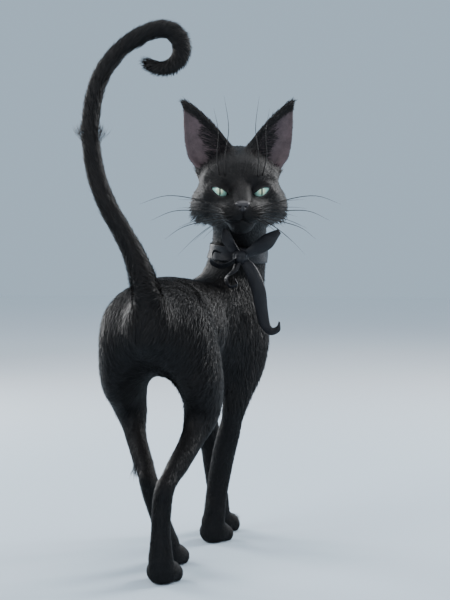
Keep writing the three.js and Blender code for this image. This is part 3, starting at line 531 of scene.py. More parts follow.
def ear_sheet(steps_round=44, steps_up=60):
    """The closed sheet for the cat's left ear: its front face, its back face and strips round the rim. It
    is (1.75 - 0.65 v) (1 - 0.45 |u|^6) thick on each side of its middle."""
    v, u = np.meshgrid(np.linspace(0.0, 1.0, steps_up), np.linspace(-1.0, 1.0, steps_round), indexing="ij")
    e = 0.004
    side = ear_middle(u + e, v) - ear_middle(u - e, v)
    rise = ear_middle(u, np.minimum(v + e, 1.0)) - ear_middle(u, np.minimum(v + e, 1.0) - 2 * e)
    thick = (1.75 - 0.65 * v) * (1.0 - 0.45 * np.abs(u) ** 6)
    half = unit(np.cross(side, rise)) * thick[..., None]
    points = np.concatenate([ear_middle(u, v) + half, ear_middle(u, v) - half], axis=1)
    number = np.arange(points.shape[0] * points.shape[1]).reshape(points.shape[:2])
    front, back = number[:, :steps_round], number[:, steps_round:]
    near = np.concatenate([front, back[:, ::-1]], axis=1)
    far = np.roll(near, -1, axis=1)
    walls = np.stack([near[:-1], far[:-1], far[1:], near[1:]], axis=-1).reshape(-1, 4)
    ends = [np.stack([front[k, :-1], front[k, 1:], back[k, 1:], back[k, :-1]], axis=-1) for k in (0, -1)]
    return points.reshape(-1, 3), np.concatenate([walls, ends[0][:, ::-1], ends[1]])


def ears_field():
    """Distances from both ears over the head's part of the grid."""
    points, squares = ear_sheet()
    low = np.array([AXES[k][HEAD_PART[k]][0] for k in range(3)])
    return np.minimum(*(level_set(from_head(points * mirror), squares, low, HEAD_U.shape, FINE, 9)
                        for mirror in MIRROR.values()))


def ear_roots(left, v, w):
    """The muscle behind the ear's root, and the bowl in front of it that narrows to the way in."""
    u = np.abs(left)
    muscle = ellipsoid(u, v, w, (25.0, 23.0, -40.0), (14.0, 16.0, 13.0))
    bowl_at = EAR_ROOT + 8.0 * EAR_UP - 3.0 * EAR_OPEN
    bowl = rod(u, v, w, bowl_at + 7.0 * EAR_ACROSS, bowl_at - 6.0 * EAR_ACROSS, (6.5, 7.5))
    way_in = rod(u, v, w, bowl_at, bowl_at - 12.0 * EAR_UP - 2.0 * EAR_ACROSS, (7.0, 3.0))
    return muscle, join(bowl, way_in, HOLLOW_FILLET)


def head_field():
    """The head's part of the skin: the neck's field behind the ears and jaw, the face's in front. The
    ears are joined on before their hollows are bored, and once more so that the boring leaves them whole."""
    behind = SKIN[HEAD_PART]
    in_front = face(HEAD_U, HEAD_V, HEAD_W)
    whole = behind + (in_front - behind) * smooth_step(HEAD_W + FACE_SLANT * HEAD_V + FACE_SHIFT, *FACE_FADE)
    muscle, hollow = ear_roots(HEAD_U, HEAD_V, HEAD_W)
    ears = ears_field()
    whole = join(join(whole, muscle, MUSCLE_FILLET), ears, EAR_FILLET)
    return join(carve(whole, hollow, HOLLOW_FILLET), ears, EAR_EDGE).astype(np.float32)


SKIN[HEAD_PART] = head_field()
print("head volume", round(float((SKIN[HEAD_PART] < 0).sum() * FINE**3 / 1e3)), "ml")

# %% [markdown]
# ## Feet
#
# A cat walks on four toes with a small cushion under each and a larger one behind them. Every foot is
# one low mass and four toes of two rounded knuckles. It is drawn once, in axes of its own, and set down
# four times.

# %% Paws
PAW_HEADINGS = {"hind_right": 2.0, "hind_left": 3.0, "fore_right": 12.0, "fore_left": 14.0}
PAW_REACH = 24.5
PAW_ROOM, PAW_TOP = 34.0, 60.0
PAW_FILLET = 7.0
SOLE_HEIGHT, SOLE_EDGE, SOLE_REACH = 0.15, 1.2, 6.0
ANKLE_SLIMMED, ANKLE_FADE = 1.2, (-30.0, -16.0)
TOES = [(-10.6, 7.5), (-3.7, 14.0), (3.7, 14.0), (10.6, 7.5)]
FUR_ON_PAW = 0.9


def paw_place(leg):
    """A paw's middle on the floor, from its node: half its width across, and a reach behind its toes."""
    heading = math.radians(PAW_HEADINGS[leg])
    ahead = np.array([math.sin(heading), math.cos(heading)])
    aside = np.array([ahead[1], -ahead[0]])
    corners = node_solid(leg + "_paw")[0]
    low = corners[corners[:, 2] < 16.0, :2]
    across, forth = low @ aside, low @ ahead
    return aside * (across.min() + across.max()) / 2 + ahead * (forth.max() - PAW_REACH), aside, ahead


def paw(u, v, z):
    """Distance from one foot: u across it, v the way it walks, z above the floor."""
    i = FUR_ON_PAW
    ankle = rod(u, v, z, (0.0, -9.5, 21.0), (0.0, -4.5, 10.5), (8.6, 10.4), i)
    foot = join(ankle, ellipsoid(u, v, z, (0.0, 3.5, 9.3), (11.6, 15.5, 9.8), i), 9.0)
    for side, ahead in TOES:
        knuckle = ellipsoid(u, v, z, (0.84 * side, ahead - 6.0, 11.0), (5.2, 10.0, 7.2), i)
        toe = ellipsoid(u, v, z, (side, ahead + 2.4, 6.9), (5.3, 7.8, 7.0), i)
        foot = join(foot, join(knuckle, toe, 4.0), 2.6)
    return foot


def set_down_paws():
    """Joins the four feet to the legs, slimmed a little there, and cuts everything flat at the floor."""
    for leg in PAW_HEADINGS:
        (x0, y0), aside, ahead = paw_place(leg)
        low, high = (x0 - PAW_ROOM, y0 - PAW_ROOM, -EDGE), (x0 + PAW_ROOM, y0 + PAW_ROOM, PAW_TOP)
        part, (x, y, z) = block(low, high)
        u, v = ((x - x0) * axis[0] + (y - y0) * axis[1] for axis in (aside, ahead))
        slimmed = SKIN[part] + ANKLE_SLIMMED * smooth_step(-z, *ANKLE_FADE)
        SKIN[part] = join(slimmed, paw(u, v, z), PAW_FILLET)
    floor = slice(0, int(np.searchsorted(AXES[2], SOLE_REACH)))
    SKIN[:, :, floor] = carve(SKIN[:, :, floor], facing(2, AXES[2][floor]) - SOLE_HEIGHT, SOLE_EDGE)


set_down_paws()
print("feet at", {leg: paw_place(leg)[0].round(1).tolist() for leg in PAW_HEADINGS})

# %% [markdown]
# ## From field to mesh
#
# The surface is taken from the grid as squares, all of one size in grid steps. That is far more than
# the flat parts need, so a Decimate modifier joins the small faces where the surface bends least. Last,
# each corner slides along the field's slope until it lies on the surface again.

# %% The skin
SKIN_TRIANGLES = 178_000


def new_mesh(name, points, faces, smooth=True):
    """An object whose mesh has these corners, given in millimetres, and these faces of one size."""
    mesh = bpy.data.meshes.new(name)
    mesh.vertices.add(len(points))
    mesh.vertices.foreach_set("co", (np.asarray(points) * MM).astype(np.float32).ravel())
    mesh.loops.add(faces.size)
    mesh.loops.foreach_set("vertex_index", faces.astype(np.int32).ravel())
    mesh.polygons.add(len(faces))
    mesh.polygons.foreach_set("loop_start", np.arange(0, faces.size, faces.shape[1], dtype=np.int32))
    mesh.update(calc_edges=True)
    mesh.polygons.foreach_set("use_smooth", np.full(len(faces), smooth))
    made = bpy.data.objects.new(name, mesh)
    bpy.context.scene.collection.objects.link(made)
    return made


def outwards(points, triangles):
    """The mesh, with its triangles turned round if the volume that they enclose is negative."""
    a, b, c = points[triangles].swapaxes(0, 1)
    volume = np.einsum("ij,ij->i", a, np.cross(b, c)).sum()
    return points, triangles if volume > 0 else triangles[:, ::-1]


def read_at(values, points):
    """A value of the graded grid at each point, by straight lines between the eight around it."""
    place = np.stack([np.interp(points[:, k], AXES[k], np.arange(len(AXES[k]))) for k in range(3)], axis=1)
    before = np.minimum(place.astype(int), np.array(values.shape) - 2)
    share = place - before
    total = np.zeros(len(points))
    for corner in np.ndindex(2, 2, 2):
        weight = np.prod(np.where(corner, share, 1.0 - share), axis=1)
        total += weight * values[tuple((before + corner).T)]
    return total


def slope_at(values, points, step=0.6):
    """The direction in which a grid's values grow fastest at each point."""
    ends = ((read_at(values, points + shift), read_at(values, points - shift)) for shift in step * np.eye(3))
    return np.stack([(after - before) / (2 * step) for after, before in ends], axis=1)


def settled(points, rounds=3):
    """Points slid along the slope on to the surface, by at most half a millimetre a round."""
    for _ in range(rounds):
        distance, slope = read_at(SKIN, points), slope_at(SKIN, points)
        steep = np.maximum((slope**2).sum(axis=1), 0.3)
        points = points - slope * np.clip(distance / steep, -0.5, 0.5)[:, None]
    return points


def skin_surface():
    """The corners and triangles of the whole surface."""
    points, squares = surface_of(SKIN, 6.0)
    places = [np.interp(points[:, k], np.arange(len(AXES[k])), AXES[k]) for k in range(3)]
    dense = new_mesh("dense skin", np.stack(places, axis=1), squares)
    dense.modifiers.new("join small faces", "DECIMATE").ratio = SKIN_TRIANGLES / (2 * len(squares))
    done = bpy.data.meshes.new_from_object(dense.evaluated_get(bpy.context.evaluated_depsgraph_get()))
    corners, triangles = corners_and_triangles(done)
    bpy.data.meshes.remove(done)
    bpy.data.meshes.remove(dense.data)
    return outwards(settled(corners.astype(np.float64) / MM), triangles)


PLACES, TRIANGLES = skin_surface()
print("surface of", len(TRIANGLES), "triangles")

# %% [markdown]
# ## Which way the hair lies
#
# A cat's coat runs away from its nose: over the brow and down the neck, back along the trunk, and down
# the legs and the tail to their tips. So the lie of the coat is the slope of one number, the length of
# the way from the nose over the skin. That length spreads from corner to corner along the edges of the
# mesh until it stops changing, all corners at once. Corners it never reaches are specks that float loose
# from the body, so they are left out before the skin becomes a mesh.

# %% Distance from the nose over the skin
FAR = 1e6
LEGS_END, TRUNK_END, TAIL_BEGINS = (130.0, 190.0), (225.0, 265.0), (245.0, 268.0)
RUMP_BEGINS = (100.0, 128.0)


def mesh_links():
    """Both directions of every edge, sorted by the corner they lead to, where each corner's begin, and
    how many it has."""
    pairs = np.concatenate([TRIANGLES[:, [0, 1]], TRIANGLES[:, [1, 2]], TRIANGLES[:, [2, 0]]])
    pairs = np.unique(np.sort(pairs, axis=1), axis=0)
    both = np.concatenate([pairs, pairs[:, ::-1]])
    start, end = both[np.argsort(both[:, 1], kind="stable")].T
    return start, end, np.searchsorted(end, np.arange(len(PLACES))), np.bincount(end, minlength=len(PLACES))


def way_from(seed):
    """The shortest way along edges from one corner to all others: each round takes, at every corner, the
    least of its neighbours' ways plus the edge between."""
    length = np.linalg.norm(PLACES[LINK_FROM] - PLACES[LINK_TO], axis=1)
    way = np.full(len(PLACES), FAR)
    way[seed] = 0.0
    for _ in range(4000):
        reached = np.minimum(way, np.minimum.reduceat(way[LINK_FROM] + length, LINK_STARTS))
        if np.array_equal(reached, way):
            break
        way = reached
    return way


def evened(values, rounds):
    """Values at the corners, each replaced by the mean of its neighbours' and its own, some times over."""
    count = (LINK_COUNT + 1.0).reshape((-1,) + (1,) * (values.ndim - 1))
    for _ in range(rounds):
        values = (np.add.reduceat(values[LINK_FROM], LINK_STARTS, axis=0) + values) / count
    return values


def slope_over(values):
    """At each corner, the direction along the skin in which a value grows: the mean over the triangles
    round it of the value's slope in each triangle's plane."""
    a, b, c = PLACES[TRIANGLES].swapaxes(0, 1)
    at_a, at_b, at_c = values[TRIANGLES].T[..., None]
    normal = np.cross(b - a, c - a)
    slope = np.cross(normal, c - b) * at_a + np.cross(normal, a - c) * at_b + np.cross(normal, b - a) * at_c
    sums = [np.bincount(TRIANGLES.ravel(), np.repeat(part, 3), len(PLACES)) for part in unit(slope).T]
    return unit(np.stack(sums, axis=1))


def lie_of_coat():
    """The way the hair lies: away from the nose over the skin, and turned downwards, most on the legs and
    below the tail, less on the trunk, and not at all on the neck, the head and the tail."""
    _, y, z = PLACES.T
    on_legs = 1.0 - smooth_step(z, *LEGS_END)
    on_trunk = 1.0 - smooth_step(z, *TRUNK_END)
    below_tail = smooth_step(-y, *RUMP_BEGINS) * (1.0 - smooth_step(z, *TAIL_BEGINS))
    down = 0.8 * on_legs + 0.3 * on_trunk + 0.6 * below_tail
    lie = evened(evened(slope_over(WAY), 8) - down[:, None] * [0.0, 0.0, 1.0], 8)
    return unit(lie - (lie * NORMALS).sum(axis=1, keepdims=True) * NORMALS)


LINK_FROM, LINK_TO, LINK_STARTS, LINK_COUNT = mesh_links()
WAY = way_from(np.argmin(((PLACES - from_head([0.0, -10.0, 30.0])) ** 2).sum(axis=1)))
REACHED = WAY < FAR
TRIANGLES = (np.cumsum(REACHED) - 1)[TRIANGLES[REACHED[TRIANGLES[:, 0]]]]
PLACES, WAY = PLACES[REACHED], WAY[REACHED]
LINK_FROM, LINK_TO, LINK_STARTS, LINK_COUNT = mesh_links()
skin = new_mesh("skin", PLACES, TRIANGLES)
NORMALS = unit(slope_at(SKIN, PLACES, 0.9))
LIE = lie_of_coat()
print("skin of", len(TRIANGLES), "triangles,", int((~REACHED).sum()), "loose corners left out")
print("the coat's longest way", round(WAY.max()), "mm, to", PLACES[WAY.argmax()].round())

# %% [markdown]
# ## What the coat is like in each place
#
# Hair is shortest on the nose and the toes, and longest on the flanks, the ruffs and the tail. Each
# corner of the skin gets a length, a width and a lift for its tufts, and how bare it is: the hollow of
# the ears, the rims of the eyes and the seat of the nose have hardly any hair. The ruffs hang down and
# out in points, and a wisp stands out on each side of the tail and in three places on the legs.

# %% Places on the head, and bare skin
HEAD_PLACES = (PLACES - HEAD_AT) @ HEAD_AXES.T
TO_LEFT = np.sign(HEAD_PLACES[:, :1])
LID_FADE = (0.4, 1.8)
MIRRORED = np.column_stack([np.abs(HEAD_PLACES[:, 0]), HEAD_PLACES[:, 1:]])
IN_GRID = np.clip(np.round((PLACES - GRID_LOW) / CELL).astype(int), 0, np.array(GRID_SHAPE) - 1)
LABELS = NEAREST[tuple(IN_GRID.T)]


def on_nodes(*starts):
    """Which corners lie nearest to a node whose name starts so."""
    return np.isin(LABELS, [k for k, name in enumerate(FLESH) if name.startswith(starts)])


def ear_shares():
    """How far each corner belongs to an ear, how far it lies in its hollow, and how far on the inner and
    lower side of that hollow, where long hairs grow across it."""
    from_root = MIRRORED - EAR_ROOT
    height, sideways = from_root @ EAR_UP, from_root @ EAR_ACROSS
    half = ear_half_width(np.clip(height / EAR_HEIGHT, 0.0, 1.0))
    near = (np.abs(sideways) < half + 3.0) & (np.abs(from_root @ EAR_OPEN) < 22.0)
    ear = smooth_step(height, 2.0, 14.0) * near
    normal = NORMALS @ HEAD_AXES.T
    normal[:, :1] *= TO_LEFT
    in_front = smooth_step(normal @ EAR_OPEN, -0.05, 0.35)
    inside = smooth_step(half - np.abs(sideways), 0.5, 4.0) * smooth_step(height, -5.0, 3.0)
    hollow = in_front * inside * near * smooth_step(MIRRORED @ EAR_UP, 22.0, 32.0)
    inner = smooth_step(-sideways - 0.1 * height, -9.0, 9.0) * smooth_step(-height, -46.0, -24.0)
    low = smooth_step(-height, -14.0, 0.0) * smooth_step(-sideways, -8.0, 4.0)
    return ear, hollow, hollow * np.maximum(inner, low)


def lid_share():
    """1 at the edge of the slit between the lids, and 0 from 1.8 mm beyond it."""
    off, a = off_slit(MIRRORED[:, 0], MIRRORED[:, 1])
    off = np.maximum(off, np.abs(a) - SLIT_HALF)
    return (1.0 - smooth_step(off, *LID_FADE)) * (MIRRORED[:, 2] > EYE_CENTRE[2])


EAR, HOLLOW, EAR_HAIR = ear_shares()
NOSE_SEAT = 1.0 - smooth_step(np.linalg.norm((MIRRORED - NOSE_CENTRE) / [1.1, 0.9, 1.3], axis=1), 5.0, 7.0)
SOLE = smooth_step(-NORMALS[:, 2], 0.55, 0.8) * (PLACES[:, 2] < 3.0)
BARE = evened(np.clip(HOLLOW - 0.55 * EAR_HAIR + NOSE_SEAT + SOLE + lid_share(), 0.0, 1.0), 1)
print("corners on the ears", int(EAR.sum()), "and bare", int(BARE.sum()))

# %% Length, width and lift of the tufts
ON_PAW = on_nodes(*(leg + "_paw" for leg in PAW_HEADINGS))
ON_SHANK = on_nodes("hind_left_shank", "hind_right_shank", "fore_left_forearm", "fore_right_forearm")
ON_TAIL = on_nodes("tail_")
OWN_LENGTHS = [(8.5, ON_TAIL), (3.0, ON_PAW), (6.0, ON_SHANK), (2.6, EAR > 0.5)]
HEAD_WAYS, HEAD_LENGTHS = [0, 12, 28, 45, 70, 110, 170], [1.3, 1.7, 2.6, 3.6, 5.2, 8.0, 10.0]
RUFF_AT, RUFF_WIDTH = [44.0, -27.0, -25.0], 14.0
WISP_WIDTH = 4.5
RUFF_LONGER, EAR_HAIR_LONGER, WISP_LONGER = 1.7, 7.0, 7.0
LEAST_WIDTH, WIDTH_PER_LENGTH, EAR_HAIR_FINER = 0.25, 0.055, 0.4
ALL_LIFT, RUFF_LIFT, EAR_HAIR_LIFT, WISP_LIFT = 9.0, 12.0, 14.0, 26.0
WISPS_AT = [
    (-102.9, -157.4, 395.3), (-90.8, -153.4, 394.1),  # both sides of the tail
    (-71.2, -81.8, 99.2), (-40.1, 112.0, 102.2), (-9.8, 141.1, 16.7),  # above a hock, a wrist and a paw
]


def bell(off, width):
    """1 where a vector is 0, falling off as exp(-(length / width)^2)."""
    return np.exp(-(off**2).sum(axis=1) / width**2)


RUFF = bell(MIRRORED - RUFF_AT, RUFF_WIDTH) * (on_nodes("head") * (1.0 - EAR))
WISP = sum(bell(PLACES - place, WISP_WIDTH) for place in WISPS_AT)
LIE = unit(LIE + RUFF[:, None] * (0.4 * TO_LEFT * HEAD_AXES[0] - 0.9 * HEAD_AXES[1]))


def tuft_sizes():
    """Length and width in millimetres and lift in degrees at each corner. On the head and the trunk the
    length grows with the way from the nose; shanks, paws, tail and ears have their own."""
    length = np.interp(WAY, HEAD_WAYS, HEAD_LENGTHS) * (1.0 + RUFF_LONGER * RUFF)
    for own, mask in OWN_LENGTHS:
        length = np.where(mask, own, length)
    ear_hair = evened(EAR_HAIR, 2)
    length = evened(length, 12) + EAR_HAIR_LONGER * ear_hair
    width = (LEAST_WIDTH + WIDTH_PER_LENGTH * length) * (1.0 - EAR_HAIR_FINER * ear_hair)
    lift = ALL_LIFT + ON_TAIL + RUFF_LIFT * RUFF + ON_SHANK + EAR_HAIR_LIFT * EAR_HAIR
    return length + WISP_LONGER * WISP, width, evened(lift, 10) + WISP_LIFT * WISP


LENGTH, WIDTH, LIFT = tuft_sizes()
print("tufts from", LENGTH.min().round(1), "to", LENGTH.max().round(1), "mm long")

# %% [markdown]
# ## The tufts
#
# A tuft is a lock of hairs that cling together: flat, pointed at both ends, rooted just under the skin and
# bent back on to the body. A root, one ring of three corners and a tip close it with six triangles.
# All tufts of a piece are made at once: roots are drawn at random over the skin with more where tufts are
# small, and each takes its direction from the lie of the coat there, turned a little by chance.
#
# Each tuft's map patch is tiny and lies at its root's place on an unwrap of the skin: every part of the
# body is rolled out round its own middle line into one tile of a grid of tiles.

# %% Roots and map places
TUFTS = 246_000
TUFTS_IN_A_PIECE = 32_500
PATCH = 0.003
BARE_THINS, FLOOR_FADE, CROWDING = 1.25, (0.6, 2.0), 0.9
rng = np.random.default_rng(28)


def unwrap():
    """A place on the map for each corner: a tile for each node of flesh, in which the angle round the
    node's longest direction runs across and the way along it runs up."""
    tiles = int(np.ceil(np.sqrt(len(FLESH))))
    places = np.zeros((len(PLACES), 2))
    for number in np.unique(LABELS):
        mine = LABELS == number
        off = PLACES[mine] - PLACES[mine].mean(axis=0)
        axes = np.linalg.svd(off[:: max(1, len(off) // 2000)], full_matrices=False)[2]
        along, aside, back = (off @ axis for axis in axes)
        turn = np.arctan2(back, aside) / (2 * np.pi) + 0.5
        reach = (along - along.min()) / (np.ptp(along) + 1e-6)
        corner = np.array([number % tiles, number // tiles])
        places[mine] = (corner + 0.02 + 0.96 * np.column_stack([turn, reach])) / tiles
    return places


def tuft_shares():
    """How many tufts each triangle of the skin should get: its area over the area that a tuft covers,
    that to the power of 0.9, fewer where the skin is bare and none on the floor."""
    a, b, c = PLACES[TRIANGLES].swapaxes(0, 1)
    area = np.linalg.norm(np.cross(b - a, c - a), axis=1) / 2
    bare, height, size = (values[TRIANGLES].mean(axis=1) for values in (BARE, PLACES[:, 2], LENGTH))
    size = size * WIDTH[TRIANGLES].mean(axis=1)
    share = area * np.clip(1.0 - BARE_THINS * bare, 0.0, 1.0) * smooth_step(height, *FLOOR_FADE)
    share = share / size**CROWDING
    return share * TUFTS / share.sum()


def roots(shares):
    """Triangle numbers and weights of their corners for roots spread evenly by share: the running total
    of the shares is cut at every whole number, with a random part of a step added."""
    total = np.cumsum(shares)
    marks = np.arange(int(total[-1])) + rng.random(int(total[-1]))
    chosen = np.searchsorted(total, marks)
    chosen = chosen[chosen < len(shares)]
    a, b = rng.random((2, len(chosen)))
    over = a + b > 1.0
    a, b = np.where(over, 1.0 - a, a), np.where(over, 1.0 - b, b)
    return chosen, np.column_stack([1.0 - a - b, a, b])


MAP_PLACES = unwrap()
SHARES = tuft_shares()
print("tufts on a triangle of skin:", SHARES.mean().round(2), "on average,", SHARES.max().round(1), "at most")

# %% Tufts as one mesh
WIDEST, RISEN = 0.42, 0.68
ROUNDNESS, STRAY = 0.55, 0.16
SWAY = 8.0
LENGTH_SPREAD, WIDTH_SPREAD, LIFT_SPREAD = (0.7, 1.2), (0.8, 1.25), (0.4, 1.6)
ROOT_DEPTH, OFF_FLOOR = 0.3, 0.1
TUFT_SIDES = np.array([[1, 0, 2], [2, 0, 3], [3, 0, 1], [1, 2, 4], [2, 3, 4], [3, 1, 4]])
PATCH_SHAPE = np.array([[0, -1], [-0.9, 0], [0.9, 0], [0, 0.2], [0, 1.0]]) * PATCH / 2
COAT_PARTS = {
    "face": on_nodes("head") & (HEAD_PLACES[:, 2] > -22.0),
    "crown": on_nodes("head") & (HEAD_PLACES[:, 2] <= -22.0),
    "neck": on_nodes("neck"),
    "chest": on_nodes("chest"),
    "flanks": on_nodes("belly"),
    "rump": on_nodes("rump"),
    "forelegs": on_nodes("fore_"),
    "hind_legs": on_nodes("hind_"),
    "tail": ON_TAIL,
}


def set_map(made, name, places):
    """Gives a mesh a map, from a place on it for each corner."""
    flat = read_all(made.data.loops, "vertex_index", 1, np.int32)[:, 0]
    layer = made.data.uv_layers.new(name=name)
    layer.data.foreach_set("uv", places[flat].astype(np.float32).ravel())


def tuft_mesh(name, chosen, weights):
    """One piece of coat: for each root a point under the skin, a ring where the tuft is widest, and a tip.
    The ring is a flat triangle: left edge, right edge and a ridge that faces outwards. Most of the lift
    comes before the ring, so the tuft bends over there and runs on along the body. Its shading slope is
    the skin's, turned a little to each side, so a lock shines with the form it lies on."""
    at = lambda values: np.einsum("nk,nk...->n...", weights, values[TRIANGLES[chosen]])
    root, normal, lie = at(PLACES), unit(at(NORMALS)), unit(at(LIE))
    count = len(chosen)
    length = at(LENGTH) * rng.uniform(*LENGTH_SPREAD, count)
    half = (at(WIDTH) * rng.uniform(*WIDTH_SPREAD, count) / 2)[:, None]
    lift = np.radians(at(LIFT)) * rng.uniform(*LIFT_SPREAD, count)
    sway = np.radians(rng.normal(0.0, SWAY, count))[:, None]
    ahead = np.cos(sway) * lie + np.sin(sway) * np.cross(normal, lie)
    aside = np.cross(normal, ahead)
    forth = (length * np.cos(lift))[:, None] * ahead
    rise = (length * np.sin(lift))[:, None] * normal
    wide = root + WIDEST * forth + RISEN * rise
    edges = [wide - half * aside, wide + half * aside, wide + 0.5 * half * normal]
    points = np.stack([root - ROOT_DEPTH * normal, *edges, root + forth + rise], axis=1).reshape(-1, 3)
    points[:, 2] = np.maximum(points[:, 2], OFF_FLOOR)
    made = new_mesh(name, points, (5 * np.arange(count)[:, None, None] + TUFT_SIDES).reshape(-1, 3))
    tipped = normal + rng.normal(0.0, STRAY, (count, 3))
    slopes = [tipped, tipped - ROUNDNESS * aside, tipped + ROUNDNESS * aside, tipped, tipped + 0.25 * ahead]
    slopes = unit(np.stack(slopes, axis=1)).astype(np.float32).ravel()
    shading = made.data.attributes.new("custom_normal", "FLOAT_VECTOR", "POINT")
    shading.data.foreach_set("vector", slopes)
    set_map(made, "OFBake", (MAP_PLACES[TRIANGLES[chosen, 0]][:, None] + PATCH_SHAPE).reshape(-1, 2))
    return made


def make_coat():
    """The whole coat, part by part, with a part of too many tufts shared out among several pieces."""
    pieces = []
    for part, mask in COAT_PARTS.items():
        chosen, weights = roots(np.where(mask[TRIANGLES[:, 0]], SHARES, 0.0))
        groups = int(np.ceil(len(chosen) / TUFTS_IN_A_PIECE))
        for number in range(groups):
            name = f"coat_{part}" + (f"_{number + 1}" if groups > 1 else "")
            pieces.append(tuft_mesh(name, chosen[number::groups], weights[number::groups]))
        print(part, len(chosen), "tufts in", groups, "pieces")
    return pieces


coat = make_coat()

# %% [markdown]
# ## Surfaces from rings and sheets
#
# The smaller pieces are surfaces of two kinds. A loft is a row of rings with the same number of points,
# closed at both ends by a fan. A sheet is a middle surface moved out to both sides by half its
# thickness, and closed round its rim. Both are computed as whole arrays and differ only in where their
# points lie.

# %% Lofts, sheets and smooth paths


def split(a, b, c, d):
    """Two triangles for each square, from the numbers of its four corners."""
    return np.concatenate([np.stack([a, b, c], -1).reshape(-1, 3), np.stack([a, c, d], -1).reshape(-1, 3)])


def loft(rings):
    """Points and triangles of a closed skin over rings, given as an array of rings by points by three."""
    count, sides = rings.shape[:2]
    points = np.concatenate([rings.reshape(-1, 3), rings[:1].mean(axis=1), rings[-1:].mean(axis=1)])
    number = np.arange(count * sides).reshape(count, sides)
    beside = np.roll(number, -1, axis=1)
    walls = split(number[:-1], beside[:-1], beside[1:], number[1:])
    near_fan = np.column_stack([beside[0], number[0], np.full(sides, count * sides)])
    far_fan = np.column_stack([number[-1], beside[-1], np.full(sides, count * sides + 1)])
    return outwards(points, np.concatenate([walls, near_fan, far_fan]))


def joined(parts):
    """Several meshes' points and faces as one."""
    starts = np.cumsum([0] + [len(points) for points, _ in parts[:-1]])
    return (np.concatenate([points for points, _ in parts]),
            np.concatenate([faces + start for start, (_, faces) in zip(starts, parts)]))


def angles(rows, columns):
    """A grid of angles over a ball: from its front pole to its back pole, and all the way round."""
    return np.meshgrid(np.linspace(0.02, np.pi - 0.02, rows),
                       np.linspace(0, 2 * np.pi, columns, endpoint=False), indexing="ij")


def smooth_path(points, count):
    """A curve through the points: between two of them it is the cubic whose slope at each is half the
    step from the point before to the point after. The places are evenly spaced along it."""
    points = np.asarray(points, float)
    padded = np.concatenate([2 * points[:1] - points[1:2], points, 2 * points[-1:] - points[-2:-1]])
    fine = np.linspace(0.0, len(points) - 1.0, 400)
    k = np.minimum(fine.astype(int), len(points) - 2)
    t = (fine - k)[:, None]
    p, q, r, s = (padded[k + j] for j in range(4))
    curve = 0.5 * (2 * q + (r - p) * t + (2 * p - 5 * q + 4 * r - s) * t**2 + (3 * q - p - 3 * r + s) * t**3)
    way = np.concatenate([[0.0], np.cumsum(np.linalg.norm(np.diff(curve[:, :3], axis=0), axis=1))])
    even = np.linspace(0.0, way[-1], count)
    return np.column_stack([np.interp(even, way, values) for values in curve.T])


def rings_round(path, aside, back, radii, sides):
    """Rings round a path, in the planes of two directions that are given at each of its places."""
    turn = np.linspace(0.0, 2 * np.pi, sides, endpoint=False)[None, :, None]
    ring = np.cos(turn) * aside[:, None] + np.sin(turn) * back[:, None]
    return path[:, None] + ring * np.broadcast_to(radii, len(path))[:, None, None]


def tube_rings(path, radii, sides):
    """Rings round a path: their plane is square to it, and turns with it from one ring to the next."""
    ahead = unit(np.gradient(path, axis=0))
    reference = [0.0, 0.0, 1.0] if abs(ahead[0, 2]) < 0.8 else [1.0, 0.0, 0.0]
    aside = unit(np.cross(ahead, reference))
    return rings_round(path, aside, np.cross(ahead, aside), radii, sides)


def on_face(u, v, depth):
    """A point of the head's front at a place across it: it looks back along a line until it meets the
    skin, and then goes in by a depth."""
    deep = np.linspace(38.0, -40.0, 400)
    values = read_at(SKIN, from_head(np.column_stack([np.full(400, u), np.full(400, v), deep])))
    return np.array([u, v, deep[np.argmax(values < 0)] - depth])


# %% [markdown]
# ## Eyes
#
# An eyeball is a white ball with a clear dome in front. Between the lids of a cat nearly all that shows
# is the iris, here a pale aqua green, with a pupil that daylight narrows to an upright slit. The ball is
# a loft round its own axis, and its map holds the place across the eye, so that iris and pupil can be
# drawn as formulas of it. The rim of the lids is a thin moist tube along the edge of the slit.

# %% Eyeballs and lid rims
CORNEA_HALF, CORNEA_RISE = 8.2, 1.1
EYE_SUNK = 0.55
LID_RIM, LID_RIM_SUNK = 0.62, 0.75


def eyeball(mirror):
    """Rings from the front pole to the back pole. The ball is a little smaller than the eye, and near its
    front it grows by the dome's rise times (1 - (s / half)^2)^2, s being the place across."""
    polar, turn = angles(60, 72)
    across = EYE_RADIUS * np.sin(polar)
    dome = np.where(np.cos(polar) > 0, np.clip(1.0 - (across / CORNEA_HALF) ** 2, 0.0, 1.0) ** 2, 0.0)
    radius = EYE_RADIUS - CORNEA_RISE + EYE_SUNK + CORNEA_RISE * dome
    ball = np.stack([np.sin(polar) * np.cos(turn), np.sin(polar) * np.sin(turn), np.cos(polar)], -1)
    points, faces = loft(radius[..., None] * ball)
    made = new_mesh("eyeball", *outwards(from_head(points + EYE_CENTRE * mirror), faces))
    set_map(made, "across the eye", 0.5 + points[:, :2] / (2 * EYE_RADIUS))
    return made


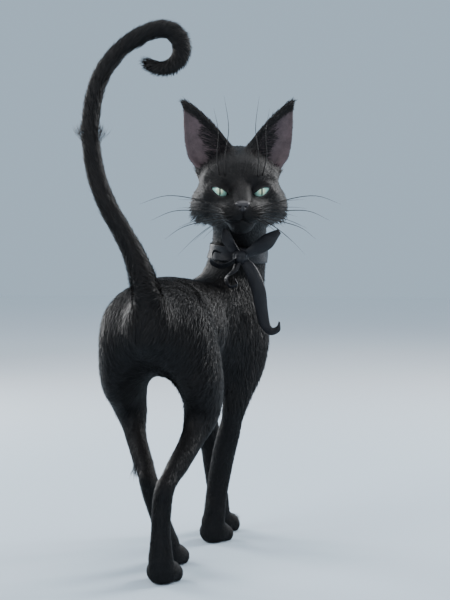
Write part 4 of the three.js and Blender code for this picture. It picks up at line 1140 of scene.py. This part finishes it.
def lid_rim(mirror):
    """A closed tube along the slit's edge, on a sphere just inside the lids."""
    turn = np.linspace(0.0, 2 * np.pi, 90, endpoint=False)
    a = SLIT_HALF * 1.01 * np.cos(turn)
    b = np.where(turn < np.pi, *lid_heights(a))
    across, up = a * TILT_COS - b * TILT_SIN, a * TILT_SIN + b * TILT_COS
    out = np.sqrt((LID_RADIUS - LID_RIM_SUNK) ** 2 - across**2 - up**2)
    path = (np.column_stack([across, up, out]) + EYE_CENTRE) * mirror
    away = unit(path - EYE_CENTRE * mirror)
    aside = np.cross(unit(np.roll(path, -1, axis=0) - np.roll(path, 1, axis=0)), away)
    rings = rings_round(path, away, aside, LID_RIM * (0.75 + 0.25 * np.sin(turn) ** 2), 10)
    number = np.arange(rings[..., 0].size).reshape(rings.shape[:2])
    far, beside = np.roll(number, -1, axis=0), np.roll(number, -1, axis=1)
    return outwards(from_head(rings.reshape(-1, 3)), split(number, beside, np.roll(far, -1, axis=1), far))


eyes = {}
for hand, mirror in MIRROR.items():
    eyes[hand] = eyeball(mirror)
    eyes[hand].name = f"eyeball_{hand}"
lids = new_mesh("lid_rims", *joined([lid_rim(mirror) for mirror in MIRROR.values()]))
print("slit between the lids", 2 * SLIT_HALF, "by", round(SLIT_UP + SLIT_DOWN, 1), "mm")

# %% [markdown]
# ## Nose leather
#
# The nose is a small pad of bare, fine-grained leather, broad above and narrow below, with a nostril
# cut into each side and a groove down its middle. It is a ball whose outline is pulled into a rounded
# triangle, with the nostrils pressed in by a bell of the distance from a short curved line.

# %% The nose
NOSE_WIDE, NOSE_DEEP = 5.9, 5.4
NOSTRIL = [(2.3, 0.3), (3.7, -0.6), (5.1, -0.3), (6.3, 1.0)]
NOSTRIL_DEPTH, PHILTRUM_DEPTH = 2.9, 0.75


def nose_pad():
    """Outline radius 5.9 (1 + 0.07 cos 3(t - 30 degrees)) times (sin p)^0.85, spread across by
    1.1 + 0.26 sin t; depth times cos p. Nostrils and groove are pressed in where a point is in front."""
    polar, turn = angles(70, 110)
    outline = NOSE_WIDE * (1.0 + 0.07 * np.cos(3 * (turn - np.pi / 6)))
    bulge = np.sin(polar) ** 0.85
    x = (1.1 + 0.26 * np.sin(turn)) * outline * bulge * np.cos(turn)
    y, z = 0.92 * outline * bulge * np.sin(turn), NOSE_DEEP * np.cos(polar)
    pit = groove(np.abs(x), y + 1.2, NOSTRIL, 0.85)
    middle = np.exp(-((x / 0.55) ** 2)) * smooth_step(-y, -1.0, 1.0)
    z = z - smooth_step(z, 0.0, 2.5) * (NOSTRIL_DEPTH * pit + PHILTRUM_DEPTH * middle)
    return loft(from_head(np.stack([x, y, z], axis=-1) + NOSE_CENTRE + [0.0, -0.4, 0.0]))


nose = new_mesh("nose_leather", *nose_pad())
print("nose", len(nose.data.polygons), "triangles")

# %% [markdown]
# ## Whiskers and claws
#
# Whiskers are stiff, smooth and tapered, set in four rows on each pad, the longest reaching out beyond
# the cheeks. A few more stand over the eyes. Each is a tube along a curve. The longest ones run where the
# frame has its whisker nodes; the others are fanned out between them by their row and their place in it.
#
# A walking cat's claws are drawn in, so only their dark tips show between the hairs of the toes.

# %% Whiskers
LONG_WHISKERS = [
    [(14, -18, 20), (40, -8, 20), (72, -4, 10), (99, -13, -3)],
    [(15, -21, 20), (40, -18, 20), (66, -19, 10), (88, -29, -2)],
    [(14, -24, 19), (36, -28, 19), (58, -35, 10), (74, -47, 0)],
    [(21, 14, 1), (24, 34, 11), (23, 58, 13), (27, 80, 7)],  # over the eye
    [(16, 13, 3), (16, 36, 12), (13, 62, 13), (17, 92, 6)],
]
WHISKER_ROWS = [(-15.5, 24.0, 3), (-18.3, 12.0, 4), (-21.2, -4.0, 4), (-24.2, -22.0, 4)]
SHORT_BROWS = [(-4.0, 34.0), (5.0, 28.0)]
FAN_ROOT, FAN_SPREAD = 8.5, 8.5
FAN_LENGTH, FAN_GROWTH = 26.0, 30.0
FAN_DROOP = np.array([-0.05, -0.20, -0.22])
LONG_THICK, SHORT_THICK, BROW_THICK = 0.55, 0.32, 0.22


def fanned_routes():
    """Shorter whiskers, from each row's height, angle and number: rooted on the pad by row and place,
    leaving at the row's angle, bent back and down."""
    routes = []
    for height, angle, count in WHISKER_ROWS:
        for share in np.arange(count) / (count - 1):
            root = on_face(FAN_ROOT + FAN_SPREAD * share, height, 0.6)
            length = (FAN_LENGTH + FAN_GROWTH * share) * rng.uniform(0.85, 1.15)
            tilt = math.radians(angle + rng.uniform(-7.0, 7.0))
            away = unit(np.array([math.cos(tilt), math.sin(tilt), 0.75 - 0.55 * share]))
            droop = FAN_DROOP * length
            routes.append([root + away * length * t + droop * t * t for t in (0.0, 0.33, 0.66, 1.0)])
    return routes


def brow_routes():
    """The two short whiskers over the eye, each a bow with a lean and a reach of its own."""
    routes = []
    for lean, reach in SHORT_BROWS:
        root = on_face(21.0 + lean, 13.5, 0.8)
        tip = root + np.array([0.25 * reach + lean, 0.85 * reach, 0.3 * reach])
        routes.append([root, (root + tip) / 2 + [0.0, 0.0, 3.0], tip])
    return routes


def whiskers():
    """All whiskers of each side: tubes of 5 sides that thin evenly to their tips, rooted in the skin."""
    long = [[on_face(*route[0][:2], 0.8), *route[1:]] for route in LONG_WHISKERS]
    groups = [(LONG_THICK, long), (SHORT_THICK, fanned_routes()), (BROW_THICK, brow_routes())]
    paths = [(smooth_path(route, 16), thick) for thick, routes in groups for route in routes]
    thinning = 1.0 - 0.9 * np.linspace(0.0, 1.0, 16) ** 1.7
    made = {}
    for hand, mirror in MIRROR.items():
        tubes = [loft(tube_rings(from_head(path * mirror), thick * thinning, 5)) for path, thick in paths]
        made[hand] = new_mesh(f"whiskers_{hand}", *joined(tubes))
    return made


whisker_pieces = whiskers()
print("whiskers", {hand: len(piece.data.polygons) for hand, piece in whisker_pieces.items()}, "triangles")

# %% Claws
CLAW_LENGTH, CLAW_THICK, CLAW_BEND, CLAW_FLATTENED = 7.5, 1.15, 1.15, 0.4
CLAW_AHEAD, CLAW_HEIGHT = 4.6, 7.6


def claw(leg, side, ahead):
    """A hook of horn, flat from side to side, that leaves the top of the toe and bends down: an arc of
    1.15 radians, whose thickness shrinks as (1 - t)^0.7 to its tip."""
    middle, aside, forth = paw_place(leg)
    t = np.linspace(0.0, 1.0, 12)
    reach = CLAW_LENGTH * np.sin(CLAW_BEND * t) / CLAW_BEND
    drop = -CLAW_LENGTH * (1.0 - np.cos(CLAW_BEND * t)) / CLAW_BEND
    start = np.append(middle, 0.0) + np.append(aside * side + forth * (ahead + CLAW_AHEAD), CLAW_HEIGHT)
    path = start + reach[:, None] * np.append(forth, 0.0) + drop[:, None] * [0.0, 0.0, 1.0]
    rings = tube_rings(path, CLAW_THICK * (1.0 - t) ** 0.7 + 0.06, 8)
    across = np.append(aside, 0.0)
    return loft(rings - CLAW_FLATTENED * ((rings - path[:, None]) @ across)[..., None] * across)


toes = [(leg, 1.04 * side, ahead) for leg in PAW_HEADINGS for side, ahead in TOES]
claws = new_mesh("claws", *joined([claw(*toe) for toe in toes]))
print("claws", len(claws.data.polygons), "triangles")

# %% [markdown]
# ## The ribbon
#
# A strip of black satin, 15 mm wide, goes once round the throat and is tied under the chin. Two short
# ends stand up beside the jaw, two more curl under on the cat's right, and a long one hangs down and
# turns up at its tip. Cloth this stiff and this small keeps the shape that the fingers gave it, so it is
# drawn, not simulated: each end is a strip carried along a curve, with its width turning as it goes, a
# hollow across it and a slight ripple along it. The band follows the neck: it looks out from the middle
# in every direction until it stands just clear of the fur.

# %% Band, knot and ends
SATIN_WIDTH, SATIN_THICK = 15.0, 0.45
FUR_ON_NECK, BAND_CLEAR, ENDS_CLEAR = 2.6, 0.4, 1.2
KNOT_WIDE, KNOT_TALL, KNOT_DEEP = 8.2, 7.4, 6.4
KNOT_AT = centre_of("ribbon_knot")
ENDS = {  # place in the head's axes, direction across the strip, and width
    "wing_left": [
        ((0, 0, 0), (0, 1, 0.3), 6), ((12, 6, 2), (-0.3, 1, 0.3), 12),
        ((26, 15, 4), (-0.5, 1, 0), 15), ((38, 25, 0), (-0.8, 1, 0), 5)],
    "wing_right": [
        ((0, 0, 0), (1, 0, 0.4), 6), ((-9, 9, 3), (1, 0.3, 0.4), 11),
        ((-14, 20, 2), (1, 0, 0.3), 11), ((-15, 28, -2), (1, 0, 0.2), 4)],
    "curl_outer": [
        ((0, 0, 0), (0, 0.5, 1), 6), ((-11, -6, 2), (0, 0.5, 1), 11), ((-21, -9, 2), (0, 0.5, 1), 11),
        ((-29, -3, 2), (0.3, 0.4, 1), 10), ((-27, 5, 2), (0, 0.3, 1), 8), ((-20, 4, 2), (0, 0.3, 1), 5)],
    "curl_inner": [
        ((0, 0, 0), (1, 0, 0.6), 6), ((-7, -13, 3), (0.5, 0, 1), 10), ((-15, -21, 4), (0.3, 0.3, 1), 10),
        ((-12, -30, 4), (0, 0.4, 1), 9), ((-4, -28, 4), (0, 0.3, 1), 7), ((-6, -22, 4), (0, 0.3, 1), 5)],
    "end": [
        ((0, 0, 0), (1, 0.4, 0), 7), ((9, -12, 4), (1, 0.4, 0), 12), ((17, -32, 5), (1, 0.3, 0), 14),
        ((21, -54, 3), (1, 0.2, 0), 12), ((24, -67, 3), (1, 0.35, 0.1), 10),
        ((30, -74, 5), (0.35, 1, 0.1), 8), ((37, -71, 7), (-0.5, 1, 0), 6),
        ((38, -64, 7), (-1, 0.6, 0), 1.5)],
}


def clear_of_fur(points, room):
    """Points moved out along the skin's slope until they are that far from it."""
    moved = points.reshape(-1, 3).copy()
    for _ in range(10):
        distance = read_at(SKIN, moved)
        near = distance < room
        moved[near] += unit(slope_at(SKIN, moved[near])) * (room - distance[near] + 0.05)[:, None]
    return moved.reshape(points.shape)


def ribbon_end(stations):
    """The middle surface of one end: u runs across it and v along it. Its path and half width are smooth
    curves through the stations; across, it is hollow by 0.16 of its width, and its edges ripple."""
    table = np.array([[*at, *(unit(np.array(wide, float)) * width / 2)] for at, wide, width in stations])
    path = smooth_path(table, 96)
    u = np.linspace(-1.0, 1.0, 15)[None, :, None]
    v = np.linspace(0.0, 1.0, 96)[:, None, None]
    centre, half = path[:, None, :3], path[:, None, 3:]
    normal = unit(np.cross(half, np.gradient(path[:, :3], axis=0)[:, None]))
    width = np.linalg.norm(half, axis=-1, keepdims=True)
    hollow = 0.32 * width * (u * u - 0.5) + 0.05 * width * u * np.sin(22.0 * v + 2.0 * u)
    local = centre + half * u + normal * hollow
    return clear_of_fur(KNOT_AT + local @ HEAD_AXES, FUR_ON_NECK + ENDS_CLEAR)


def neck_band():
    """The band's middle surface: u runs across its width and v round the neck, from the knot and back.
    The reach from the neck's middle to where the fur ends is evened out round the neck, and creased."""
    corners = node_solid("ribbon_band")[0]
    middle = corners.mean(axis=0)
    flat_way = np.linalg.svd(corners - middle, full_matrices=False)[2][2]
    upright = flat_way * np.sign(flat_way[2])
    aside = unit(np.cross([0.0, 1.0, 0.0], upright))
    back = np.cross(upright, aside)
    start = math.atan2((KNOT_AT - middle) @ back, (KNOT_AT - middle) @ aside)
    turn = start + np.linspace(0.0, 2 * np.pi, 241)[:, None]
    u = np.linspace(-1.0, 1.0, 13)[None]
    out = np.cos(turn)[..., None] * aside + np.sin(turn)[..., None] * back
    base = middle + upright * u[..., None] * SATIN_WIDTH / 2
    reach = np.linspace(12.0, 58.0, 116)
    rays = (base[..., None, :] + out[..., None, :] * reach[:, None]).reshape(-1, 3)
    clear = read_at(SKIN, rays).reshape(241, 13, -1) > FUR_ON_NECK + BAND_CLEAR
    radius = reach[np.argmax(clear, axis=-1)]
    for _ in range(14):
        inner = radius[:-1]
        radius[:-1] = (np.roll(inner, 1, axis=0) + 2 * inner + np.roll(inner, -1, axis=0)) / 4
        radius[-1] = radius[0]
    crease = 0.35 * np.sin(7.0 * turn + 2.5 * u) * (1.0 - u**2)
    return base + out * (radius + crease)[..., None]


def flat_size(middle):
    """The width and the length of a middle surface where it is widest and longest, and its area."""
    rise, side = np.diff(middle, axis=0), np.diff(middle, axis=1)
    length = np.linalg.norm(rise, axis=-1).sum(axis=0).max()
    width = np.linalg.norm(side, axis=-1).sum(axis=1).max()
    return width, length, np.linalg.norm(np.cross(rise[:, :-1], side[:-1]), axis=-1).sum()


def satin(name, middle):
    """A strip of ribbon as a closed thin sheet, a ring round it at each step along it. Its map runs along
    it in tenths of a metre."""
    rise, side = np.gradient(middle, axis=(0, 1))
    half = unit(np.cross(side, rise)) * SATIN_THICK / 2
    made = new_mesh(name, *loft(np.concatenate([middle + half, (middle - half)[:, ::-1]], axis=1)))
    rows, columns = middle.shape[:2]
    width, length, area = flat_size(middle)
    across = np.concatenate([np.linspace(0, width, columns), np.linspace(width, 0, columns)])
    places = np.stack(np.broadcast_arrays(across, np.linspace(0, length, rows)[:, None]), axis=-1)
    places = places.reshape(-1, 2)
    set_map(made, "along the ribbon", np.concatenate([places, places[:1], places[-1:]]) / 100.0)
    return made, (width, length, area)


def knot():
    """A ball about 16 by 15 by 13 mm with a waist, and folds that run over it from top to bottom."""
    polar, turn = angles(60, 90)
    fold = 1.0 + 0.07 * np.cos(6 * turn + 1.2 * np.cos(polar)) * np.sin(polar) ** 2
    waist = 1.0 - 0.10 * np.exp(-((np.cos(polar) / 0.3) ** 2))
    x = KNOT_WIDE * np.sin(polar) * np.cos(turn) * fold * waist
    z = KNOT_DEEP * np.sin(polar) * np.sin(turn) * fold * waist
    y = KNOT_TALL * np.cos(polar) * (1.0 + 0.04 * np.cos(5 * turn))
    return loft(KNOT_AT + np.stack([x, y, z], axis=-1) @ HEAD_AXES)


middles = {"band": neck_band(), **{end: ribbon_end(stations) for end, stations in ENDS.items()}}
ribbon, flats = {}, {}
for end, middle in middles.items():
    ribbon[end], flats[end] = satin(f"satin_{end}", middle)
    print(f"satin_{end}", "{:.1f} x {:.1f} mm, {:.0f} mm2".format(*flats[end]))
ribbon_knot = new_mesh("satin_knot", *knot())

# %% [markdown]
# ## Shader maths written as Python
#
# A material is a graph of nodes, and arithmetic in it takes one node for each sign. A small class wraps
# a socket and overloads the operators, so that an expression builds those nodes. Its method node makes
# any other node: first the settings, then the values or links of its sockets. The rest are short names
# for the nodes that are used most.

# %% Wires


class Wire:
    """A socket in a material's node tree that takes part in sums."""

    def __init__(self, tree, socket=None):
        self.tree = tree
        self.socket = socket

    def node(self, kind, settings=None, sockets=None, output=0):
        """A new node's output. A value among the sockets is either a wire or a constant."""
        made = self.tree.nodes.new(kind)
        for name, value in (settings or {}).items():
            setattr(made, name, value)
        for name, value in (sockets or {}).items():
            if isinstance(value, Wire):
                self.tree.links.new(value.socket, made.inputs[name])
            else:
                made.inputs[name].default_value = value
        return Wire(self.tree, made.outputs[output])

    def maths(self, operation, *values):
        """A Math node on one, two or three values."""
        return self.node("ShaderNodeMath", {"operation": operation}, dict(enumerate(values)))

    def __add__(self, other):
        return self.maths("ADD", self, other)

    def __sub__(self, other):
        return self.maths("SUBTRACT", self, other)

    def __rsub__(self, other):
        return self.maths("SUBTRACT", other, self)

    def __mul__(self, other):
        return self.maths("MULTIPLY", self, other)

    def __truediv__(self, other):
        return self.maths("DIVIDE", self, other)

    def __pow__(self, other):
        return self.maths("POWER", self, other)

    def __abs__(self):
        return self.maths("ABSOLUTE", self)

    __radd__ = __add__
    __rmul__ = __mul__

    def place(self):
        """The object's own coordinates."""
        return self.node("ShaderNodeTexCoord", output="Object")

    def map(self, name):
        """The two coordinates of one of the mesh's maps."""
        flat = self.node("ShaderNodeUVMap", {"uv_map": name})
        return [self.node("ShaderNodeSeparateXYZ", None, {0: flat}, k) for k in range(2)]

    def pair(self, x, y):
        """A vector of two values."""
        return self.node("ShaderNodeCombineXYZ", None, {0: x, 1: y})

    def step(self, low, high):
        """0 below low and 1 above high, with a soft S between."""
        return self.node("ShaderNodeMapRange", {"interpolation_type": "SMOOTHSTEP"},
                         {"Value": self, "From Min": low, "From Max": high})

    def colours(self, dark, light):
        """From one colour to another as this value goes from 0 to 1."""
        dark, light = (value if isinstance(value, Wire) else (*value, 1.0) for value in (dark, light))
        return self.node("ShaderNodeMix", {"data_type": "RGBA"}, {0: self, 6: dark, 7: light}, 2)

    def noise(self, scale, detail=2.0, vector=None, roughness=0.5):
        """Cloudy noise on the object's own coordinates, or on a vector that is given."""
        return self.node("ShaderNodeTexNoise", None, {"Vector": vector or self.place(), "Scale": scale,
                                                      "Detail": detail, "Roughness": roughness})

    def bump(self, distance, strength):
        """The normal of a surface on which this value stands up by a distance in metres."""
        return self.node("ShaderNodeBump", None, {"Height": self, "Distance": distance, "Strength": strength})


def finish(name, draw, **fixed):
    """A material with one Principled shader. fixed are its constant sockets; draw gets a wire and gives
    the sockets that change over the surface."""
    material = bpy.data.materials.new(name)
    material.use_nodes = True
    tree = material.node_tree
    shader = tree.nodes["Principled BSDF"]
    for socket, value in fixed.items():
        shader.inputs[socket.replace("_", " ")].default_value = value
    for socket, value in draw(Wire(tree)).items():
        tree.links.new(value.socket, shader.inputs[socket])
    return material


# %% [markdown]
# ## Finishes
#
# Black fur is never one flat black: sun and wear leave a trace of brown, and each hair has a smooth
# scale that throws light back in long streaks. The tufts give the streaks by their shape, so the
# material needs only a low, slightly uneven gloss. Under them the skin is as dark as the coat, with a
# fine grain, and shows greyish mauve in the hollow of the ears.

# %% Coat and skin
BLACK, BROWNISH = (0.0045, 0.0042, 0.0047), (0.0095, 0.0074, 0.0068)
EAR_DARK, EAR_PALE = (0.030, 0.021, 0.024), (0.095, 0.066, 0.072)


def draw_coat(wire):
    """Large soft clouds of brownish black, and a finer change from lock to lock."""
    clouds, locks = wire.noise(22.0, 3.0), wire.noise(420.0, 1.0)
    share = (clouds * 0.7 + locks * 0.5 - 0.35).step(0.0, 0.75)
    return {"Base Color": share.colours(BLACK, BROWNISH), "Roughness": locks * 0.16 + 0.42}


def draw_skin(wire):
    """As the coat, but mauve in the ears' hollows, darker on other bare skin, and grained."""
    hollow, bare = (wire.node("ShaderNodeAttribute", {"attribute_name": name}, output="Fac")
                    for name in ("hollow", "bare"))
    clouds, grain = wire.noise(22.0, 3.0), wire.noise(1500.0, 3.0)
    veins = (grain * 0.6 + wire.noise(160.0) * 0.6 - 0.1).step(0.1, 0.9)
    leather = bare.colours(clouds.colours(BLACK, BROWNISH), (0.016, 0.0135, 0.0145))
    return {
        "Base Color": hollow.colours(leather, veins.colours(EAR_DARK, EAR_PALE)),
        "Roughness": 0.62 - bare * 0.12 + grain * 0.1,
        "Normal": grain.bump(0.00022, 0.7),
    }


coat_finish = finish("black fur", draw_coat, Specular_IOR_Level=0.17)
skin_finish = finish("black skin", draw_skin, Specular_IOR_Level=0.25)
for name, values in (("bare", BARE), ("hollow", evened(HOLLOW, 2))):
    skin.data.attributes.new(name, "FLOAT", "POINT").data.foreach_set("value", values.astype(np.float32))
print("coat", sum(len(piece.data.polygons) for piece in coat), "triangles")

# %% [markdown]
# The iris is drawn on the eyeball's own map, as a formula of the place across the eye: fibres that run
# out from the pupil, a yellower ring within, a dark ring at its edge, and the pupil as an upright
# slit. A clear coat over it all is the wet cornea.

# %% Eyes, nose, horn and satin
IRIS, PUPIL_HALF, PUPIL_TALL = 0.76, 0.085, 0.52


def draw_eye(wire):
    """Iris, pupil and dark rim from the map's place across the eye, in shares of the eye's radius."""
    x, y = ((part - 0.5) * 2.0 for part in wire.map("across the eye"))
    radius = (x * x + y * y) ** 0.5
    turn = wire.maths("ARCTAN2", y, x)
    fibres = wire.noise(3.0, 4.0, wire.pair(turn * 9.0, radius * 2.2), 0.65)
    outer = fibres.colours((0.16, 0.40, 0.33), (0.50, 0.80, 0.68))
    inner = fibres.colours((0.42, 0.60, 0.30), (0.74, 0.86, 0.56))
    iris = radius.step(0.12, 0.42).colours(inner, outer)
    rim = radius.step(IRIS - 0.16, IRIS).colours(iris, (0.012, 0.016, 0.014))
    slit = abs(x) / PUPIL_HALF + (y / PUPIL_TALL) ** 2
    return {"Base Color": slit.step(0.85, 1.05).colours((0.002, 0.002, 0.002), rim)}


def draw_nose(wire):
    """Pebbled leather: small cells with sunk borders, and a faint sheen of damp."""
    cells = wire.node("ShaderNodeTexVoronoi", {"feature": "F1"}, {"Vector": wire.place(), "Scale": 1500.0})
    return {
        "Base Color": wire.noise(300.0).colours((0.014, 0.0125, 0.014), (0.032, 0.028, 0.031)),
        "Roughness": cells * 0.2 + 0.42,
        "Normal": (1.0 - cells).bump(0.00009, 0.8),
    }


def draw_satin(wire):
    """Long floats of thread across a fine twill: stripes on the ribbon's own map."""
    across, along = wire.map("along the ribbon")
    floats = wire.maths("SINE", across * 2200.0 + along * 450.0)
    slubs = wire.noise(1.0, 3.0, wire.pair(across * 160.0, along * 9.0))
    return {
        "Base Color": slubs.colours((0.0055, 0.0055, 0.0068), (0.0135, 0.0135, 0.017)),
        "Roughness": slubs * 0.18 + 0.34,
        "Normal": (floats * 0.35 + slubs).bump(0.00006, 0.8),
    }


def clouded(scale, dark, light):
    """Only clouds between two colours, for the brownish horn of claws and whiskers and the moist lid rims."""
    return lambda wire: {"Base Color": wire.noise(scale).colours(dark, light)}


DAMP = {"Specular_IOR_Level": 0.35, "Coat_Weight": 0.12, "Coat_Roughness": 0.35}
draw_horn = clouded(260.0, (0.006, 0.0055, 0.006), (0.016, 0.013, 0.011))
draw_moist = clouded(500.0, (0.005, 0.0045, 0.005), (0.011, 0.0095, 0.010))
FINISHED = [
    ([skin], skin_finish),
    (coat, coat_finish),
    (eyes.values(), finish("iris", draw_eye, Roughness=0.32, Coat_Weight=1.0, Coat_Roughness=0.02)),
    ([nose], finish("nose leather", draw_nose, **DAMP)),
    ([*whisker_pieces.values(), claws], finish("horn", draw_horn, Roughness=0.5, Specular_IOR_Level=0.18)),
    ([*ribbon.values(), ribbon_knot], finish("black satin", draw_satin, Specular_IOR_Level=0.2)),
    ([lids], finish("lid rims", draw_moist, Roughness=0.22)),
]
for pieces, material in FINISHED:
    for piece in pieces:
        piece.data.materials.append(material)
print("finishes", [material.name for _, material in FINISHED])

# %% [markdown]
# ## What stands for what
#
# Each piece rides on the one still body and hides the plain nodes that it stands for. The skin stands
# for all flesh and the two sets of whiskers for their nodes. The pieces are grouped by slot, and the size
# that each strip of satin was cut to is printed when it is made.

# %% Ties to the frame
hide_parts(*FLESH, "ear_left", "ear_right")
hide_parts("nose")
for hand in MIRROR:
    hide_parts(f"eye_{hand}")
    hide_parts(*(n for n in NODES if "whisker" in n and n.endswith(hand)))
for end, piece in ribbon.items():
    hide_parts(f"ribbon_{end}")
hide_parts("ribbon_knot")

SLOTS = {
    "coat": [skin, *coat], "eye": [*eyes.values()], "nose": [nose, lids],
    "whisker": [*whisker_pieces.values(), claws], "ribbon": [*ribbon.values(), ribbon_knot],
}
for slot, pieces in SLOTS.items():
    for piece in pieces:
        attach(piece, "root")

print(sum(len(pieces) for pieces in SLOTS.values()), "pieces")

# %% [markdown]
# ## Floor, light and camera
#
# A pale floor and a pale, slightly blue surround let the black outline read. One broad soft light comes
# from the viewer's left, and two lower ones behind the cat run a rim of light along its back, legs and
# tail: without them black fur shows no form. One from the top and a weak one from the right soften the
# rest. The camera stands low, behind and a little to the right of the hips, and looks almost level at the
# middle of the cat.

# %% Stage
FLOOR_HALF = 6000.0
LIGHTS = {  # place and size in metres, watts
    "key": ((-1.3, -1.7, 1.7), 1.3, 46.0),
    "rim right": ((1.5, 1.1, 1.1), 0.9, 55.0),
    "rim left": ((-1.5, 0.9, 0.8), 0.9, 42.0),
    "top": ((0.2, 0.2, 2.2), 1.2, 30.0),
    "fill": ((1.1, -1.7, 0.5), 1.4, 16.0),
}
SURROUND, SURROUND_STRENGTH = (0.56, 0.73, 0.90, 1.0), 0.75
CAMERA_TURN, CAMERA_RISE, CAMERA_AWAY = math.radians(7.5), math.radians(2.5), 1.6
FRAME_HEIGHT = 0.574
AIM_UP = -0.001
MIDDLE = Vector([(a + b) / 2 for a, b in zip(*CAD_BOX)])


def draw_floor(wire):
    """Painted light: a pale blue grey near the cat, painted lighter away from it, where the lamps no longer
    reach.
    """
    away = wire.node("ShaderNodeVectorMath", {"operation": "LENGTH"}, {0: wire.place()}, "Value")
    # painted light: the floor grows paler with its distance from the cat, in place of lamp light far out
    return {"Base Color": away.step(0.5, 3.2).colours((0.40, 0.475, 0.54), (0.93, 0.94, 0.95))}


def set_up(name, data, place, towards):
    """An object for a light or a camera, whose back points along a direction."""
    made = bpy.data.objects.new(name, data)
    made.location = place
    made.rotation_euler = towards.to_track_quat("Z", "Y").to_euler()
    bpy.context.scene.collection.objects.link(made)
    return made


square = FLOOR_HALF * np.array([[-1, -1, 0], [1, -1, 0], [1, 1, 0], [-1, 1, 0]])
floor = new_mesh("floor", square, np.array([[0, 1, 2], [0, 2, 3]]), False)
floor.data.materials.append(finish("pale floor", draw_floor, Roughness=0.8))

for name, (place, size, watts) in LIGHTS.items():
    lamp = bpy.data.lights.new(name, "AREA")
    lamp.size, lamp.energy = size, watts
    set_up(name, lamp, place, Vector(place) - MIDDLE)

world = bpy.data.worlds.new("surround")
world.use_nodes = True
world.node_tree.nodes["Background"].inputs["Color"].default_value = SURROUND
world.node_tree.nodes["Background"].inputs["Strength"].default_value = SURROUND_STRENGTH
bpy.context.scene.world = world

camera = bpy.data.cameras.new("camera")
camera.sensor_fit = "VERTICAL"
camera.lens = camera.sensor_height / 2 / (FRAME_HEIGHT / 2 / CAMERA_AWAY)
level = Vector((math.sin(CAMERA_TURN), -math.cos(CAMERA_TURN), 0.0)) * math.cos(CAMERA_RISE)
towards = level + Vector((0.0, 0.0, math.sin(CAMERA_RISE)))
stand = MIDDLE + Vector((0.0, 0.0, AIM_UP)) + CAMERA_AWAY * towards
bpy.context.scene.camera = set_up("camera", camera, stand, towards)
print("camera at", [round(v, 3) for v in stand])
